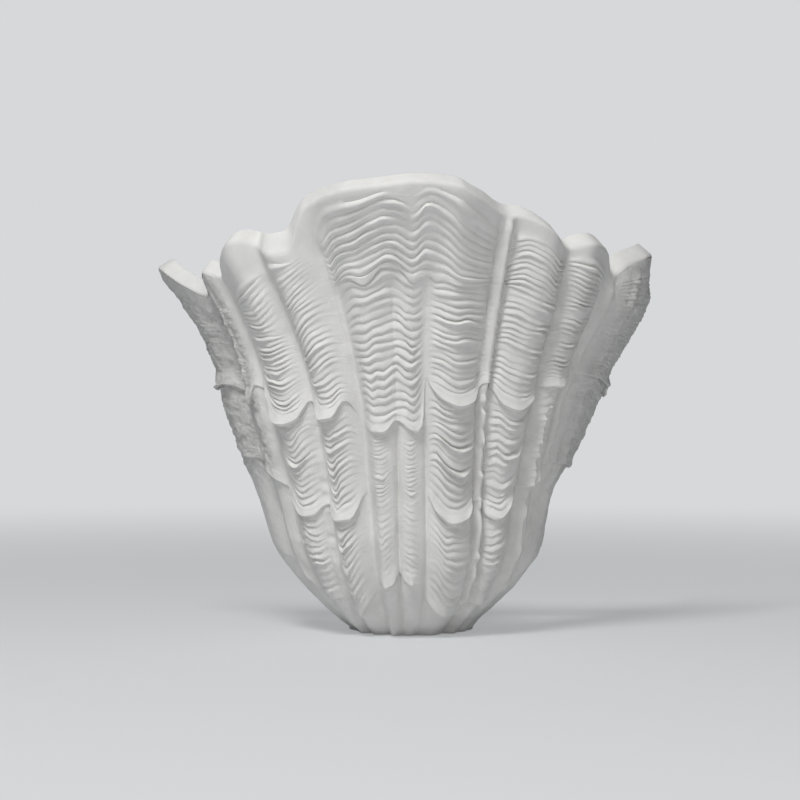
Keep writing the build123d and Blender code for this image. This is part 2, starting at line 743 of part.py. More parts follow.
def centre_contact():
    """A springy tongue: its foot lies on the core and its tip stands up under the bulb."""
    foot = holder_step_z()
    half = tongue_length / 2
    thick = tongue_thickness
    outline = Polyline(
        (-half, foot),
        (-half + 3, foot),
        (0, foot + tongue_rise - thick),
        (half - 1, foot + tongue_rise - thick),
        (half - 1, foot + tongue_rise),
        (-0.3, foot + tongue_rise),
        (-half + 2.7, foot + thick),
        (-half, foot + thick),
        close=True,
    )
    strip = extrude(make_face(Plane.XZ * outline), amount=tongue_width)
    return Pos(0, holder_y + tongue_width / 2, 0) * strip


# ---- bulb ----


def bulb_foot_z():
    """The lowest point of the bulb, just above the tongue."""
    return holder_step_z() + tongue_rise + bulb_seat_gap


def cap_foot_z():
    """The lower edge of the bulb's metal cap."""
    return bulb_foot_z() + button_height + insulator_height


def bulb_contact():
    """The solder button under the bulb."""
    foot = bulb_foot_z()
    return upright(button_radius, foot, button_height, 0, holder_y)


def bulb_insulator():
    """The black glass cone between the button and the cap."""
    foot = bulb_foot_z() + button_height
    top = foot + insulator_height
    outline = [(0, foot), (insulator_foot_radius, foot), (cap_radius - cap_thread_depth, top), (0, top)]
    return turned(outline, 0, holder_y)


def bulb_cap():
    """The metal cap, filled with cement. Its thread is left plain."""
    return upright(cap_radius, cap_foot_z(), cap_height, 0, holder_y)


def shoulder_z():
    """The level joint between the bulb's collar and its globe."""
    centre_z = bulb_foot_z() + bulb_length - bulb_radius
    return centre_z - sqrt(bulb_radius**2 - bulb_shoulder_radius**2)


def bulb_collar():
    """The white housing between the cap and the globe, which flares out above the holder."""
    cap_top = cap_foot_z() + cap_height
    rise = shoulder_z() - cap_top
    waist = cap_radius + collar_step
    outline = [(0, cap_top)]
    for step in range(collar_steps + 1):
        share = step / collar_steps
        radius = waist + (bulb_shoulder_radius - waist) * (1 - cos(pi * share / 2))
        outline.append((radius, cap_top + rise * share))
    outline.append((0, shoulder_z()))
    return turned(outline, 0, holder_y)


def bulb_globe():
    """The opal globe, cut off level where it meets the collar."""
    centre_z = bulb_foot_z() + bulb_length - bulb_radius
    lowest = asin((shoulder_z() - centre_z) / bulb_radius)
    outline = [(0, shoulder_z())]
    for step in range(globe_steps):
        angle = lowest + (pi / 2 - lowest) * step / globe_steps
        outline.append((bulb_radius * cos(angle), centre_z + bulb_radius * sin(angle)))
    outline.append((0, centre_z + bulb_radius))
    return turned(outline, 0, holder_y)


# ---- terminal block ----


def way_places():
    """Places of the ways along the block."""
    return [(way - (way_count - 1) / 2) * way_pitch for way in range(way_count)]


def block_screw_places():
    """Places of the fixing screws, in the webs between the ways."""
    return [x + way_pitch / 2 for x in way_places()[:-1]]


def clamp_heights():
    """Heights of a way's two clamping screws."""
    reach = block_height / 2 - clamp_screw_from_end
    return [block_middle_z - reach, block_middle_z + reach]


def tube_y():
    """The plane that the middles of the brass tubes lie in."""
    return -plate_thickness - tube_from_back


def terminal_block():
    """The nylon strip: a body with screw towers, a channel for each tube and waists between the ways."""
    half = (way_count - 1) / 2 * way_pitch + block_margin
    back = -plate_thickness
    low = block_middle_z - block_height / 2
    high = low + block_height
    front = back - block_depth
    block = slab(-half, half, back, front, low, high)
    block = fillet(block.edges().filter_by(Axis.Y), block_corner)
    channel = tube_width / 2 + fixing_clearance
    tower = tower_width / 2
    for x in way_places():
        for z in clamp_heights():
            block += slab(x - tower, x + tower, front - tower_height, front + 1, z - tower, z + tower)
            block -= forward(clamp_screw_radius + fixing_clearance, tube_y(), cutter_length, x, z)
        block -= slab(
            x - channel, x + channel, tube_y() - channel, tube_y() + channel, low - 1, high + 1
        )
    for x in block_screw_places():
        block -= forward(
            block_screw_radius + fixing_clearance, back + cutter_start, cutter_length, x, block_middle_z
        )
        waist = block_screw_head + 2 * fixing_clearance
        block -= slab(x - waist, x + waist, front - 1, block_seat_y(), low - 1, high + 1)
    return block


def block_seat_y():
    """The floor of the waists, where the fixing screws' heads sit."""
    return -plate_thickness - tube_from_back


def terminal_tubes():
    """Square brass tubes, one in each way, tapped for two clamping screws."""
    low = block_middle_z - block_height / 2 + 1
    high = low + block_height - 2
    half = tube_width / 2
    bore = tube_opening / 2
    tubes = []
    for x in way_places():
        tube = slab(x - half, x + half, tube_y() - half, tube_y() + half, low, high)
        tube -= slab(x - bore, x + bore, tube_y() - bore, tube_y() + bore, low - 1, high + 1)
        for z in clamp_heights():
            tube -= forward(clamp_screw_radius + fixing_clearance, tube_y(), tube_width, x, z)
        tubes.append(tube)
    return group(tubes)


def terminal_screws():
    """Grub screws, two in each way, their tips just inside the tubes' walls."""
    tip_y = tube_y() - tube_opening / 2
    end_y = tip_y - clamp_screw_length
    slot = slab(-block_depth, block_depth, end_y - 1, end_y + 1, -clamp_slot / 2, clamp_slot / 2)
    screw = forward(clamp_screw_radius, tip_y, clamp_screw_length) - slot
    return group(Pos(x, 0, z) * screw for x in way_places() for z in clamp_heights())


def slotted_screw(radius, head, head_height, length):
    """A slotted screw that points along +Z from the underside of its head."""
    screw = upright(radius, 0, length) + upright(head, -head_height, head_height)
    return screw - slab(-head, head, -0.3, 0.3, -head_height, -head_height * 0.55)


def facing_wall(screw, y, x, z):
    """Turns a screw so that it points at the wall, its head resting on the plane y."""
    return Pos(x, y, z) * Rot(-90, 0, 0) * screw


def block_screws():
    """The screws that hold the block on the plate."""
    length = -block_seat_y() - 0.3
    screw = slotted_screw(block_screw_radius, block_screw_head, block_screw_head_height, length)
    return group(facing_wall(screw, block_seat_y(), x, block_middle_z) for x in block_screw_places())


# ---- earth screw ----


def earth_screw():
    """The earth screw, tapped into the plate."""
    seat = -plate_thickness - tag_thickness - earth_washer_thickness
    screw = slotted_screw(earth_screw_radius, earth_head_radius, earth_head_height, -seat - 0.3)
    return facing_wall(screw, seat, earth_x, earth_z)


def earth_washer():
    """The washer under the earth screw's head."""
    back = -plate_thickness - tag_thickness
    ring = forward(earth_washer_radius, back, earth_washer_thickness, earth_x, earth_z)
    return ring - forward(earth_screw_radius + fixing_clearance, 0, 9, earth_x, earth_z)


def tag_barrel_end_x():
    """The end of the tag's barrel, clear of the washer."""
    return earth_x - earth_washer_radius - 0.4


def earth_tag():
    """The ring tag on the end of the earth lead, with its crimped barrel."""
    back = -plate_thickness
    barrel_end = tag_barrel_end_x()
    barrel_y = back - tag_barrel_radius
    ring = forward(tag_radius, back, tag_thickness, earth_x, earth_z)
    tail = slab(barrel_end - 1, earth_x, back, back - tag_thickness, earth_z - 1.5, earth_z + 1.5)
    barrel = Pos(barrel_end - tag_barrel_length / 2, barrel_y, earth_z) * Rot(0, 90, 0) * Cylinder(
        tag_barrel_radius, tag_barrel_length
    )
    tag = ring + tail + barrel
    tag -= forward(earth_screw_radius + fixing_clearance, 0, 9, earth_x, earth_z)
    bore = Cylinder(lead_radius + 0.05, tag_barrel_length - 1)
    return tag - Pos(barrel_end - (tag_barrel_length + 1) / 2, barrel_y, earth_z) * Rot(0, 90, 0) * bore


# ---- leads ----


def lead(points):
    """A many-sided wire along straight runs joined by arcs, each as large as its two runs allow."""
    stops = [Vector(*point) for point in points]
    runs = [b - a for a, b in zip(stops, stops[1:])]
    radii = []
    for first, second in zip(runs, runs[1:]):
        turn = radians(first.get_angle(second))
        radii.append(lead_run_share * min(first.length, second.length) / tan(turn / 2))
    print("lead radii", [round(radius, 1) for radius in radii])
    path = FilletPolyline(*stops, radius=radii)
    section = RegularPolygon(lead_radius, lead_sides)
    return sweep(Plane(origin=path @ 0, z_dir=path % 0) * section, path=path)


def lamp_lead(way, side):
    """A lead from its way, down beside the strap, round under the leg and up through the nipple."""
    x = way_places()[way]
    beside = side * (strap_width / 2 + lead_beside_strap)
    centre = side * lamp_lead_spread
    low = leg_top_z - strap_thickness
    return lead(
        [
            (x, tube_y(), block_middle_z - 3),
            (x, tube_y(), block_middle_z - block_height / 2 - lead_below_block),
            (beside, tube_y() - 2, strap_top_z - 9),
            (beside, tube_y() - 5, low - 4),
            (side * lead_turn_side, holder_y + lead_behind_nipple, low - lead_under_leg),
            (centre, holder_y, low - 20),
            (centre, holder_y, holder_step_z() - core_height),
        ]
    )


def earth_lead():
    """The short lead from its way to the barrel of the ring tag."""
    x = way_places()[-1]
    barrel_y = -plate_thickness - tag_barrel_radius
    barrel_mouth = tag_barrel_end_x() - tag_barrel_length
    return lead(
        [
            (x, tube_y(), block_middle_z - 3),
            (x, tube_y(), earth_z + 1),
            (x + lead_turn_side, barrel_y - 1, earth_z - 1),
            (barrel_mouth - 4, barrel_y, earth_z),
            (barrel_mouth + tag_barrel_length - 2, barrel_y, earth_z),
        ]
    )


if __name__ == "__main__":
    os.makedirs("parts", exist_ok=True)
    save("plaster_shell", plaster_shell())
    for side_name, piece in zip(("right", "left"), both_sides(hanger())):
        save(f"hanger_{side_name}", piece)
    save("hanger_screws", hanger_screws())
    save("wall_plate", wall_plate())
    save("cable_grommet", cable_grommet())
    save("lamp_arm", lamp_arm())
    save("arm_bolts", arm_bolts())
    save("arm_nuts", arm_nuts())
    save("holder_nipple", holder_nipple())
    save("nipple_nut", nipple_nut())
    save("holder_cap", holder_cap())
    save("holder_body", holder_body())
    save("holder_core", holder_core())
    save("side_contact", side_contact())
    save("centre_contact", centre_contact())
    save("bulb_globe", bulb_globe())
    save("bulb_collar", bulb_collar())
    save("bulb_cap", bulb_cap())
    save("bulb_insulator", bulb_insulator())
    save("bulb_contact", bulb_contact())
    save("terminal_block", terminal_block())
    save("terminal_tubes", terminal_tubes())
    save("terminal_screws", terminal_screws())
    save("block_screws", block_screws())
    save("earth_screw", earth_screw())
    save("earth_washer", earth_washer())
    save("earth_tag", earth_tag())
    save("lead_live", lamp_lead(0, -1))
    save("lead_neutral", lamp_lead(1, 1))
    save("lead_earth", earth_lead())
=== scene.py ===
import math

import bpy
import numpy as np
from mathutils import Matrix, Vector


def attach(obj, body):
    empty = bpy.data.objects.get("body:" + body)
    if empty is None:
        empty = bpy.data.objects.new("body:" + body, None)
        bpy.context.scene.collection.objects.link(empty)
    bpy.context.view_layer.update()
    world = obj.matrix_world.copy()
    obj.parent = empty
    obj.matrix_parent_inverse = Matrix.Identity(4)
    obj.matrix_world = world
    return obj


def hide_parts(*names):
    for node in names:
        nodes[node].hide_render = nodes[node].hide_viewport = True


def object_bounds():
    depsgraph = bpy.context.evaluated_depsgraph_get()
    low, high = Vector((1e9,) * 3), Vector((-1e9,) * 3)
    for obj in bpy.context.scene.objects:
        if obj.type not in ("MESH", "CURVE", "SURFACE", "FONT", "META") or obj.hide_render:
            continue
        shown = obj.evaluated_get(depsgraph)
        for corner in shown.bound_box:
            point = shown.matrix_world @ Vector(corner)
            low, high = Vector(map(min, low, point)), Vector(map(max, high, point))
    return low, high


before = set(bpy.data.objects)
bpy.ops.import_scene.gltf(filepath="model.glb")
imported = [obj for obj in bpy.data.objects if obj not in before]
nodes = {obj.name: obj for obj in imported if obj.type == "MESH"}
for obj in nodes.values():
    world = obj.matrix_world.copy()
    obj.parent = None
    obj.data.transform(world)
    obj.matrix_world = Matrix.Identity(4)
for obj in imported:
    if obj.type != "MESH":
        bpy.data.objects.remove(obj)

# Dresses the shell wall sconce: the cast plaster shell with its ribs, growth ledges and ripples, and the
# finishes of the pieces that it hides.
# Sizes are in millimetres until a mesh is made. Angles round the shell start at +X, on the wall, pass the
# front at 90 degrees and end on the wall at 180 degrees. A level is a height above the shell's foot.

metre = 0.001
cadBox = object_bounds()
print("frame loaded:", len(nodes), "nodes")


# Curve reading: a cubic that passes through every stop and never overshoots, its slope at a stop being the
# harmonic mean of the slopes on both sides, or zero where they differ in sign.
def smoothRead(stops, values, places):
    stops = np.asarray(stops, float)
    values = np.asarray(values, float)
    gaps = np.diff(stops)
    slopes = np.diff(values) / gaps
    tangents = np.zeros(len(stops))
    before, after = slopes[:-1], slopes[1:]
    same = before * after > 0
    tangents[1:-1][same] = 2 * before[same] * after[same] / (before[same] + after[same])
    places = np.clip(places, stops[0], stops[-1])
    at = np.clip(np.searchsorted(stops, places, side="right") - 1, 0, len(gaps) - 1)
    gap = gaps[at]
    t = (places - stops[at]) / gap
    rise = values[at + 1] - values[at]
    return (values[at] + rise * t * t * (3 - 2 * t)
            + gap * t * (1 - t) * (tangents[at] * (1 - t) - tangents[at + 1] * t))


# Uneven field: random heights from -1 to 1 at whole numbers of both parameters, eased smoothly in between.
def uneven(across, up, seed):
    size = 512  # the field repeats after this many steps
    grid = np.random.default_rng(seed).uniform(-1, 1, (size, size))
    i, j = np.floor(across).astype(int), np.floor(up).astype(int)
    s, t = across - i, up - j
    s, t = s * s * (3 - 2 * s), t * t * (3 - 2 * t)
    i0, j0, i1, j1 = i % size, j % size, (i + 1) % size, (j + 1) % size
    low = grid[i0, j0] * (1 - s) + grid[i1, j0] * s
    high = grid[i0, j1] * (1 - s) + grid[i1, j1] * s
    return low * (1 - t) + high * t


def easeIn(value):  # 0 up to 1 smoothly while value goes from 0 to 1
    t = np.clip(value, 0, 1)
    return t * t * (3 - 2 * t)


shell = {
    "footBelowOrigin": 150.0,
    # plain bowl under the ribs: at each level a quarter ellipse on each side of the middle
    "levels": [0, 7, 18, 34, 58, 95, 125, 150, 180, 200, 225, 250, 302],
    "rightHalfWidths": [46, 50, 62, 78, 93, 101.5, 118, 130, 142.5, 154, 166.5, 168.5, 172],
    "leftHalfWidths": [37, 45, 57, 72.5, 90, 102.5, 115, 124, 131, 139, 154, 170, 173],
    "depths": [50, 58, 69, 80, 90, 98, 105, 111.5, 119.5, 125, 133, 143, 166],
    "wall": 11.0,
    "wallGainAtFoot": 6.0,
    "lowLevel": 25.0,
    "midLevel": 158.0,
    "reliefAtFoot": 0.55,
    "calmFrom": 215.0,  # the ribs in the middle merge above this level into one broad curve
    "calmOver": 35.0,
    "calmPlaces": (8.0, 12.3),
    "calmEdges": (0.7, 0.9),
    "calmRelief": 3.0,
    "creasesSoftenFrom": 205.0,
    "creasesSoftenOver": 60.0,
    "creaseSoftening": 0.9,
    "floorTop": 11.0,
    "floorRecess": 2.0,
    "footInnerEdge": [(0.6, 0.5), (1.6, 0.0)],  # distance from the wall's side and level
    "footOuterEdge": [(2.2, 0.0), (0.6, 0.6)],
    "rimRounding": 1.8,
    "plainFoot": (2.0, 10.0),  # no ridges or bumps up to the first, and full ones the second above that
    "plainRim": (6.0, 12.0),
    "innerRows": 26,
    "floorCorner": 5.0,
    "columnSpacing": 1.45,
    "leastColumns": 8,  # between two rib lines
    "usualRadius": 118.0,
    "ribWidth": 17.0,  # usual distance of two rib lines
    "sharpAbove": 55.0,  # edges that turn more degrees than this stay sharp
}

# Rib lines from the right end on the wall to the left end: angle at the rim, at the middle and low down,
# relief (a crest stands out, a valley goes in), and how sharply the surface turns in a valley.
ribLines = [
    (0, 0, 0, 0, 0),
    (6, 8, 8, 1.5, 0),
    (14, 21, 18, 3, 0),
    (28, 34, 26, -4.5, 0.6),
    (40.5, 40.5, 33, 3.5, 0),
    (46, 46, 40, -3, 0.9),
    (53.5, 54, 49, 5, 0),
    (64, 64, 56, -6, 0.5),
    (78, 75.5, 70, 5.5, 0),
    (85, 84, 80.5, -0.5, 0.3),
    (89.5, 88.5, 87, 3, 0),
    (94.5, 93, 92.5, -1, 0.9),
    (102.5, 100, 98.5, 4.5, 0),
    (114.5, 105.5, 104, -7, 0.3),
    (125.5, 115.5, 115, 4.5, 0),
    (130.5, 122, 122, -3.5, 0.2),
    (135.6, 130.5, 131, 5.5, 0),
    (143.6, 140, 140, -3, 0.5),
    (148.3, 146, 147, -0.5, 0),
    (155, 152, 152, -5, 0.2),
    (168, 162, 162, 1.5, 0),
    (180, 180, 180, 0, 0),
]

# Rim: place counted in rib lines, level of its inner edge, and drop from there to its outer edge.
rimLine = [
    (0, 260.5, 3), (0.7, 263.3, 6), (1.5, 265.3, 8.5), (2, 264, 9), (2.3, 261.5, 9), (2.63, 257, 8.5),
    (3, 248, 8), (3.13, 254, 8), (3.26, 261, 8), (3.5, 265, 8.5), (4, 267, 8.5), (4.6, 265, 8),
    (5, 262.8, 7.5), (5.25, 262.9, 7.5), (5.6, 265.2, 7), (6, 270.5, 7), (6.25, 274.5, 7), (6.5, 278.7, 7.5),
    (6.8, 282.3, 8.5), (7.1, 283, 9), (7.26, 284.5, 9), (7.52, 289.5, 8.5), (7.79, 293.5, 7.5),
    (8, 296.8, 7), (8.5, 299.3, 7), (9, 300, 7), (10, 299.7, 6.8), (11, 298, 6.8), (12, 295.5, 7),
    (12.42, 293.5, 7.5), (12.7, 291.8, 8.5), (12.9, 290.3, 9), (13.07, 288, 9.5), (13.22, 284, 11),
    (13.35, 278, 13), (13.5, 270, 15), (13.65, 266, 15), (14, 265, 14), (14.8, 266.5, 11),
    (15.5, 268.3, 8.5), (16, 265.5, 8), (16.6, 256.8, 8), (17, 246.5, 8), (17.4, 248.6, 8.5),
    (18, 250.8, 9), (18.5, 245.2, 9.5), (19, 238, 10), (19.25, 239, 10), (19.62, 246.5, 10),
    (20, 254, 8), (20.5, 255.5, 6), (21, 254.5, 3.5),
]

# Growth ledges, from the lowest up. Each point is a place counted in rib lines, the level of the free edge
# there and how far it stands out.
ledges = {
    "foot": [
        (0, 60, 0.4), (1, 57, 1.0), (2, 46, 1.2), (3, 36, 1.5), (4, 30, 2.4), (5, 26, 1.5), (6, 22, 3.4),
        (6.6, 23, 2.8), (7, 23, 1.2), (7.4, 14, 3.0), (8, 15, 4.0), (8.6, 21, 2.8), (9, 28, 0.6),
        (9.3, 37, 1.0), (10, 36, 2.8), (10.6, 40, 1.6), (11, 45, 1.4), (11.5, 36, 3.2), (12, 35, 3.2),
        (12.6, 38, 0.8), (13, 34, 0.4), (13.5, 24, 1.6), (14, 14.5, 4.0), (14.7, 18, 2.8), (15, 27, 1.0),
        (16, 25, 2.0), (17, 26, 1.2), (18, 40, 1.5), (19, 48, 0.6), (20, 56, 0.8), (21, 60, 0.4),
    ],
    "low": [
        (0, 116, 0.6), (1, 112, 2.4), (2, 115, 2.4), (3, 117, 2.8), (4, 103, 4.2), (4.6, 101, 3.6),
        (5, 101, 1.8), (5.4, 96, 2.2), (5.8, 85, 4.4), (6.3, 80, 5.0), (6.7, 83, 4.4), (7, 93, 1.2),
        (7.2, 92, 2.0), (7.5, 81, 4.6), (8, 78, 5.0), (8.5, 83, 4.4), (8.9, 96, 0.8), (9.3, 97, 0.4),
        (10, 92, 0.4), (11, 100, 0.4), (12, 92, 0.4), (13, 98, 0.4), (13.2, 96, 1.0), (13.6, 80, 4.0),
        (14.2, 79, 4.6), (14.6, 82, 3.8), (14.9, 90, 1.5), (15.2, 88, 2.2), (15.6, 82, 3.6), (16.1, 82, 4.2),
        (16.5, 88, 3.4), (17, 99, 2.0), (18, 108, 2.8), (18.9, 118, 1.6), (20, 120, 1.2), (21, 118, 0.6),
    ],
    "main": [
        (0, 163, 1.2), (0.8, 161, 3.2), (1.4, 169, 3.0), (2, 172, 3.0), (3, 176, 2.4), (4, 167, 4.2),
        (4.7, 167, 3.6), (5, 168, 1.6), (5.3, 158, 3.4), (6, 151, 5.2), (6.5, 155, 4.2), (6.9, 169, 1.4),
        (7.08, 169, 2.0), (7.35, 158, 4.6), (7.8, 154, 5.4), (8.3, 158, 4.6), (8.7, 166, 2.8),
        (8.92, 173, 0.6), (9.12, 141, 2.4), (9.5, 137, 3.6), (10, 139, 3.4), (11, 145, 2.4),
        (11.6, 137.5, 3.6), (12, 137, 3.6), (12.7, 140, 1.4), (13, 143, 0.4), (13.45, 158, 1.8),
        (13.8, 147, 4.4), (14.3, 145, 5.4), (14.8, 153, 3.6), (15.1, 158, 1.6), (15.5, 146, 4.6),
        (16.0, 142, 5.4), (16.5, 144, 4.8), (17.1, 166, 1.6), (17.5, 168, 1.2), (18.1, 155, 3.8),
        (18.6, 163, 1.8), (19, 165, 1.6), (19.9, 169, 3.8), (20.5, 166, 4.0), (21, 165, 2.2),
    ],
    "upper": [
        (0, 215, 0.4), (2, 214, 0.4), (4, 218, 0.4), (6, 222, 0.4), (6.9, 232, 0.4), (7.15, 233, 0.8),
        (7.8, 229.5, 2.0), (8.4, 233, 1.1), (8.6, 232, 0.4), (8.92, 236, 0.8), (9.4, 235, 1.7),
        (9.8, 232, 1.7), (10.6, 240, 1.4), (11.28, 241, 2.0), (11.95, 231, 2.0), (12.48, 235, 1.3),
        (12.8, 233, 0.4), (13.3, 224, 0.4), (14, 214, 0.4), (16, 199, 0.4), (18, 205, 0.4), (21, 212, 0.4),
    ],
}

ripples = {
    "counts": [10, 18, 16, 13, 5],  # between rim, upper, main, low and foot ledges, and down to the foot
    "rise": 1.12,  # how far a full ripple stands out
    "calmRows": [0.0, 0.35, 0.7],  # rows in the smooth band below the rim, as shares of its height
    "shares": [0.1, 0.34, 0.58, 0.8, 0.95],  # rows of one ripple from its root down to its edge
    "crisp": [-0.45, 0.02, 0.4, 0.84, 1.0],  # a terrace with a sharp edge, as on the ribs
    "soft": [-0.4, 0.36, 0.95, 1.0, 0.42],  # a rounded fold, as under the middle of the rim
    "softness": [(0, 0.2), (7, 0.3), (7.6, 0.8), (9, 1), (12.8, 1), (13.3, 0.3), (21, 0.2)],
    "hang": 0.35,  # a ledge's edge hangs this share of its jut below its undercut
    "flare": 12.0,  # a ledge's jut dies away over this height
    "smoothAboveEdge": 1.2,  # smooth height above a ledge, as a multiple of its jut
    "lip": (0.22, 0.05),  # its lowest point, as a share of the jut and at least
    "lipJut": 0.72,
    "leastUndercut": 0.12,
    "faintest": (0.4, 0.8),  # a jut below the first shows no ledge, and it is full the second above that
    "plainAbove": (0.7, 1.6),  # no ripples this share of the jut above an edge; the jut at which that is full
    "jutShare": [1.0, 1.08, 1.08, 1.3],
    "edgeWaver": 0.7,
    "jutWaver": 0.25,
    "waver": [0.3, 0.45, 0.6, 0.6, 0.4],  # how unevenly the ripples of each band are spaced
    "gapShares": {"gap": 0.65, "fineGap": 0.35},
    "evenness": (0.82, 0.8, 0.3, 1.7),  # usual strength, what patches and ends change, and its limit
    "bellWidths": (0.5, 0.85),  # in rib lines, usual and across the middle columns
    "middle": (8.8, 13.0, 0.6),  # where those begin and end, and the width of the change
    "looseness": 0.4,  # low: ripples leave the line of the ledges beside them quickly
    "fullDroopHeight": 50.0,  # a lower band droops less
    "leastStep": 0.04,
    "lowestRow": 2.0,
    "streakStep": 4.4,  # how far the streaks of the plaster shift from ripple to ripple and from band to band
    "bandShift": 90.0,
    "droopShare": [1.0, 0.35, 0.45, 0.4, 0.2],
    "softShare": [1.0, 0.5, 0.4, 0.4, 0.3],
    "droop": [(0, 0), (2, 0), (3, -1), (4, 4), (4.8, -1), (5.15, -1), (5.5, 4.5), (5.85, 1), (6.2, 0),
              (6.5, -3), (6.78, 3), (6.97, 8), (7.05, 3), (7.4, 5), (7.9, 4), (8.4, -1), (8.75, -3),
              (9.1, -3), (9.55, 0.5), (10, 2.8), (10.4, 1.5), (10.75, -1.5), (11.1, -2.8), (11.45, -2),
              (11.8, 1.2), (12.1, 2.8), (12.45, 0.5), (12.7, 2), (12.95, 6), (13.05, 0), (13.3, -2),
              (13.7, 2.5), (14, 4.5), (14.4, 2.5), (14.75, -3), (15.3, -3), (15.6, 1), (16, 4.5), (16.4, 2),
              (16.75, -3), (18, 1), (19, -1), (21, 0)],
    # strength by place, for the same five bands
    "strength": [
        [(0, 0.3), (2, 0.4), (3, 0), (3.25, 0.1), (3.5, 0.9), (4, 1.5), (4.7, 1.3), (4.95, 0.3), (5.1, 0.8),
         (5.3, 1.6), (5.65, 1.5), (5.95, 0.6), (6.25, 0.8), (6.5, 1.6), (6.85, 1.5), (6.97, 0.1), (7.05, 0),
         (7.2, 0.7), (7.6, 1.1), (8.2, 1.1), (8.7, 0.8), (9, 1.1), (10, 1.4), (11, 1.4), (12, 1.4),
         (12.7, 1.2), (12.93, 0.9), (13, 0), (13.45, 0), (13.65, 0.8), (14, 1), (14.5, 0.8), (14.75, 0.15),
         (15, 0), (15.3, 0.1), (15.6, 0.8), (16, 1.1), (16.5, 0.8), (16.8, 0.2), (17, 0), (18, 0.15),
         (21, 0.1)],
        [(0, 0.3), (2, 0.4), (3, 0), (3.3, 0.1), (3.5, 0.9), (4, 1.5), (4.7, 1), (4.95, 0.3), (5.1, 1),
         (5.4, 1.7), (5.7, 1.5), (5.95, 0.5), (6.3, 0.8), (6.5, 1.7), (6.85, 1.4), (6.97, 0.1), (7.05, 0),
         (7.2, 0.7), (7.6, 1.2), (8.2, 1.1), (8.6, 0.6), (8.78, 0), (9.15, 0), (9.3, 0.6), (9.6, 1.1),
         (10, 1.2), (11, 1), (12, 1.2), (12.5, 1), (12.8, 0.2), (12.9, 0), (13.35, 0), (13.6, 1), (14, 1.3),
         (14.5, 1), (14.8, 0.15), (15, 0), (15.35, 0.1), (15.6, 1), (16, 1.3), (16.5, 1), (16.8, 0.2),
         (17, 0), (18, 0.15), (21, 0.1)],
        [(0, 0.3), (2, 0.3), (3, 0), (3.5, 0.6), (4, 0.9), (4.8, 0.9), (5, 0.2), (5.3, 1.4), (6, 1.4),
         (6.6, 1.2), (6.85, 0.5), (6.95, 0), (7.08, 0), (7.25, 0.8), (7.6, 1.4), (8.3, 1.2), (8.6, 0.5),
         (8.85, 0), (9.5, 0), (9.75, 0.3), (10, 0.4), (10.3, 0.3), (10.6, 0), (11.4, 0), (11.7, 0.3),
         (12, 0.4), (12.35, 0.3), (12.6, 0), (13.4, 0), (13.7, 0.9), (14, 1.2), (14.5, 0.9), (14.8, 0.2),
         (15, 0), (15.3, 0.2), (15.6, 0.9), (16, 1.2), (16.5, 0.8), (16.85, 0), (21, 0.1)],
        [(0, 0), (3, 0), (4, 0.2), (4.9, 0.1), (5.3, 1), (6, 1), (6.6, 1), (6.85, 0.4), (6.95, 0), (7.08, 0),
         (7.3, 0.8), (7.6, 1.2), (8.3, 1.1), (8.6, 0.4), (8.85, 0), (9.5, 0), (9.75, 0.35), (10.3, 0.35),
         (10.6, 0), (11.4, 0), (11.7, 0.35), (12.35, 0.35), (12.6, 0), (13.45, 0), (13.75, 0.8), (14, 1.1),
         (14.5, 0.7), (14.8, 0), (15.3, 0), (15.6, 0.8), (16, 1), (16.5, 0.6), (16.85, 0), (21, 0)],
        [(0, 0), (9.5, 0), (9.75, 0.5), (10.3, 0.5), (10.6, 0), (11.4, 0), (11.7, 0.5), (12.35, 0.5),
         (12.6, 0), (21, 0)],
    ],
    # single ripples that stand out as small ledges: place, half-width in rib lines, level and jut
    "accents": [(14.0, 0.55, 188, 1.8), (13.9, 0.5, 133, 0.9), (14.0, 0.5, 122, 1.2), (13.9, 0.5, 113, 1.0),
                (14.0, 0.45, 103, 1.2), (16.0, 0.5, 126, 1.5), (15.9, 0.45, 112, 1.7), (15.9, 0.45, 52, 1.5),
                (14.0, 0.4, 58, 1.4), (8.0, 0.55, 205, 1.9), (8.0, 0.5, 135, 1.4), (7.9, 0.55, 125, 2.8),
                (8.0, 0.5, 111, 2.4), (7.9, 0.45, 100, 1.4), (6.0, 0.5, 120, 1.2), (6.0, 0.5, 48, 1.0),
                (12.0, 0.3, 106, 0.9), (10.0, 0.3, 96, 0.8)],
}

# Smooth height below the rim before the ripples begin.
rimBand = [(0, 10), (3, 8), (4, 6), (5, 4), (6, 4.5), (6.9, 9), (7.3, 6), (8, 5), (9, 1.5), (10, 5.5),
           (11, 2), (12, 5), (12.7, 3), (12.95, 9), (13.1, 18), (13.3, 16), (13.5, 5), (14, 4), (14.6, 6),
           (15, 14), (16, 21), (17, 18), (21, 10)]

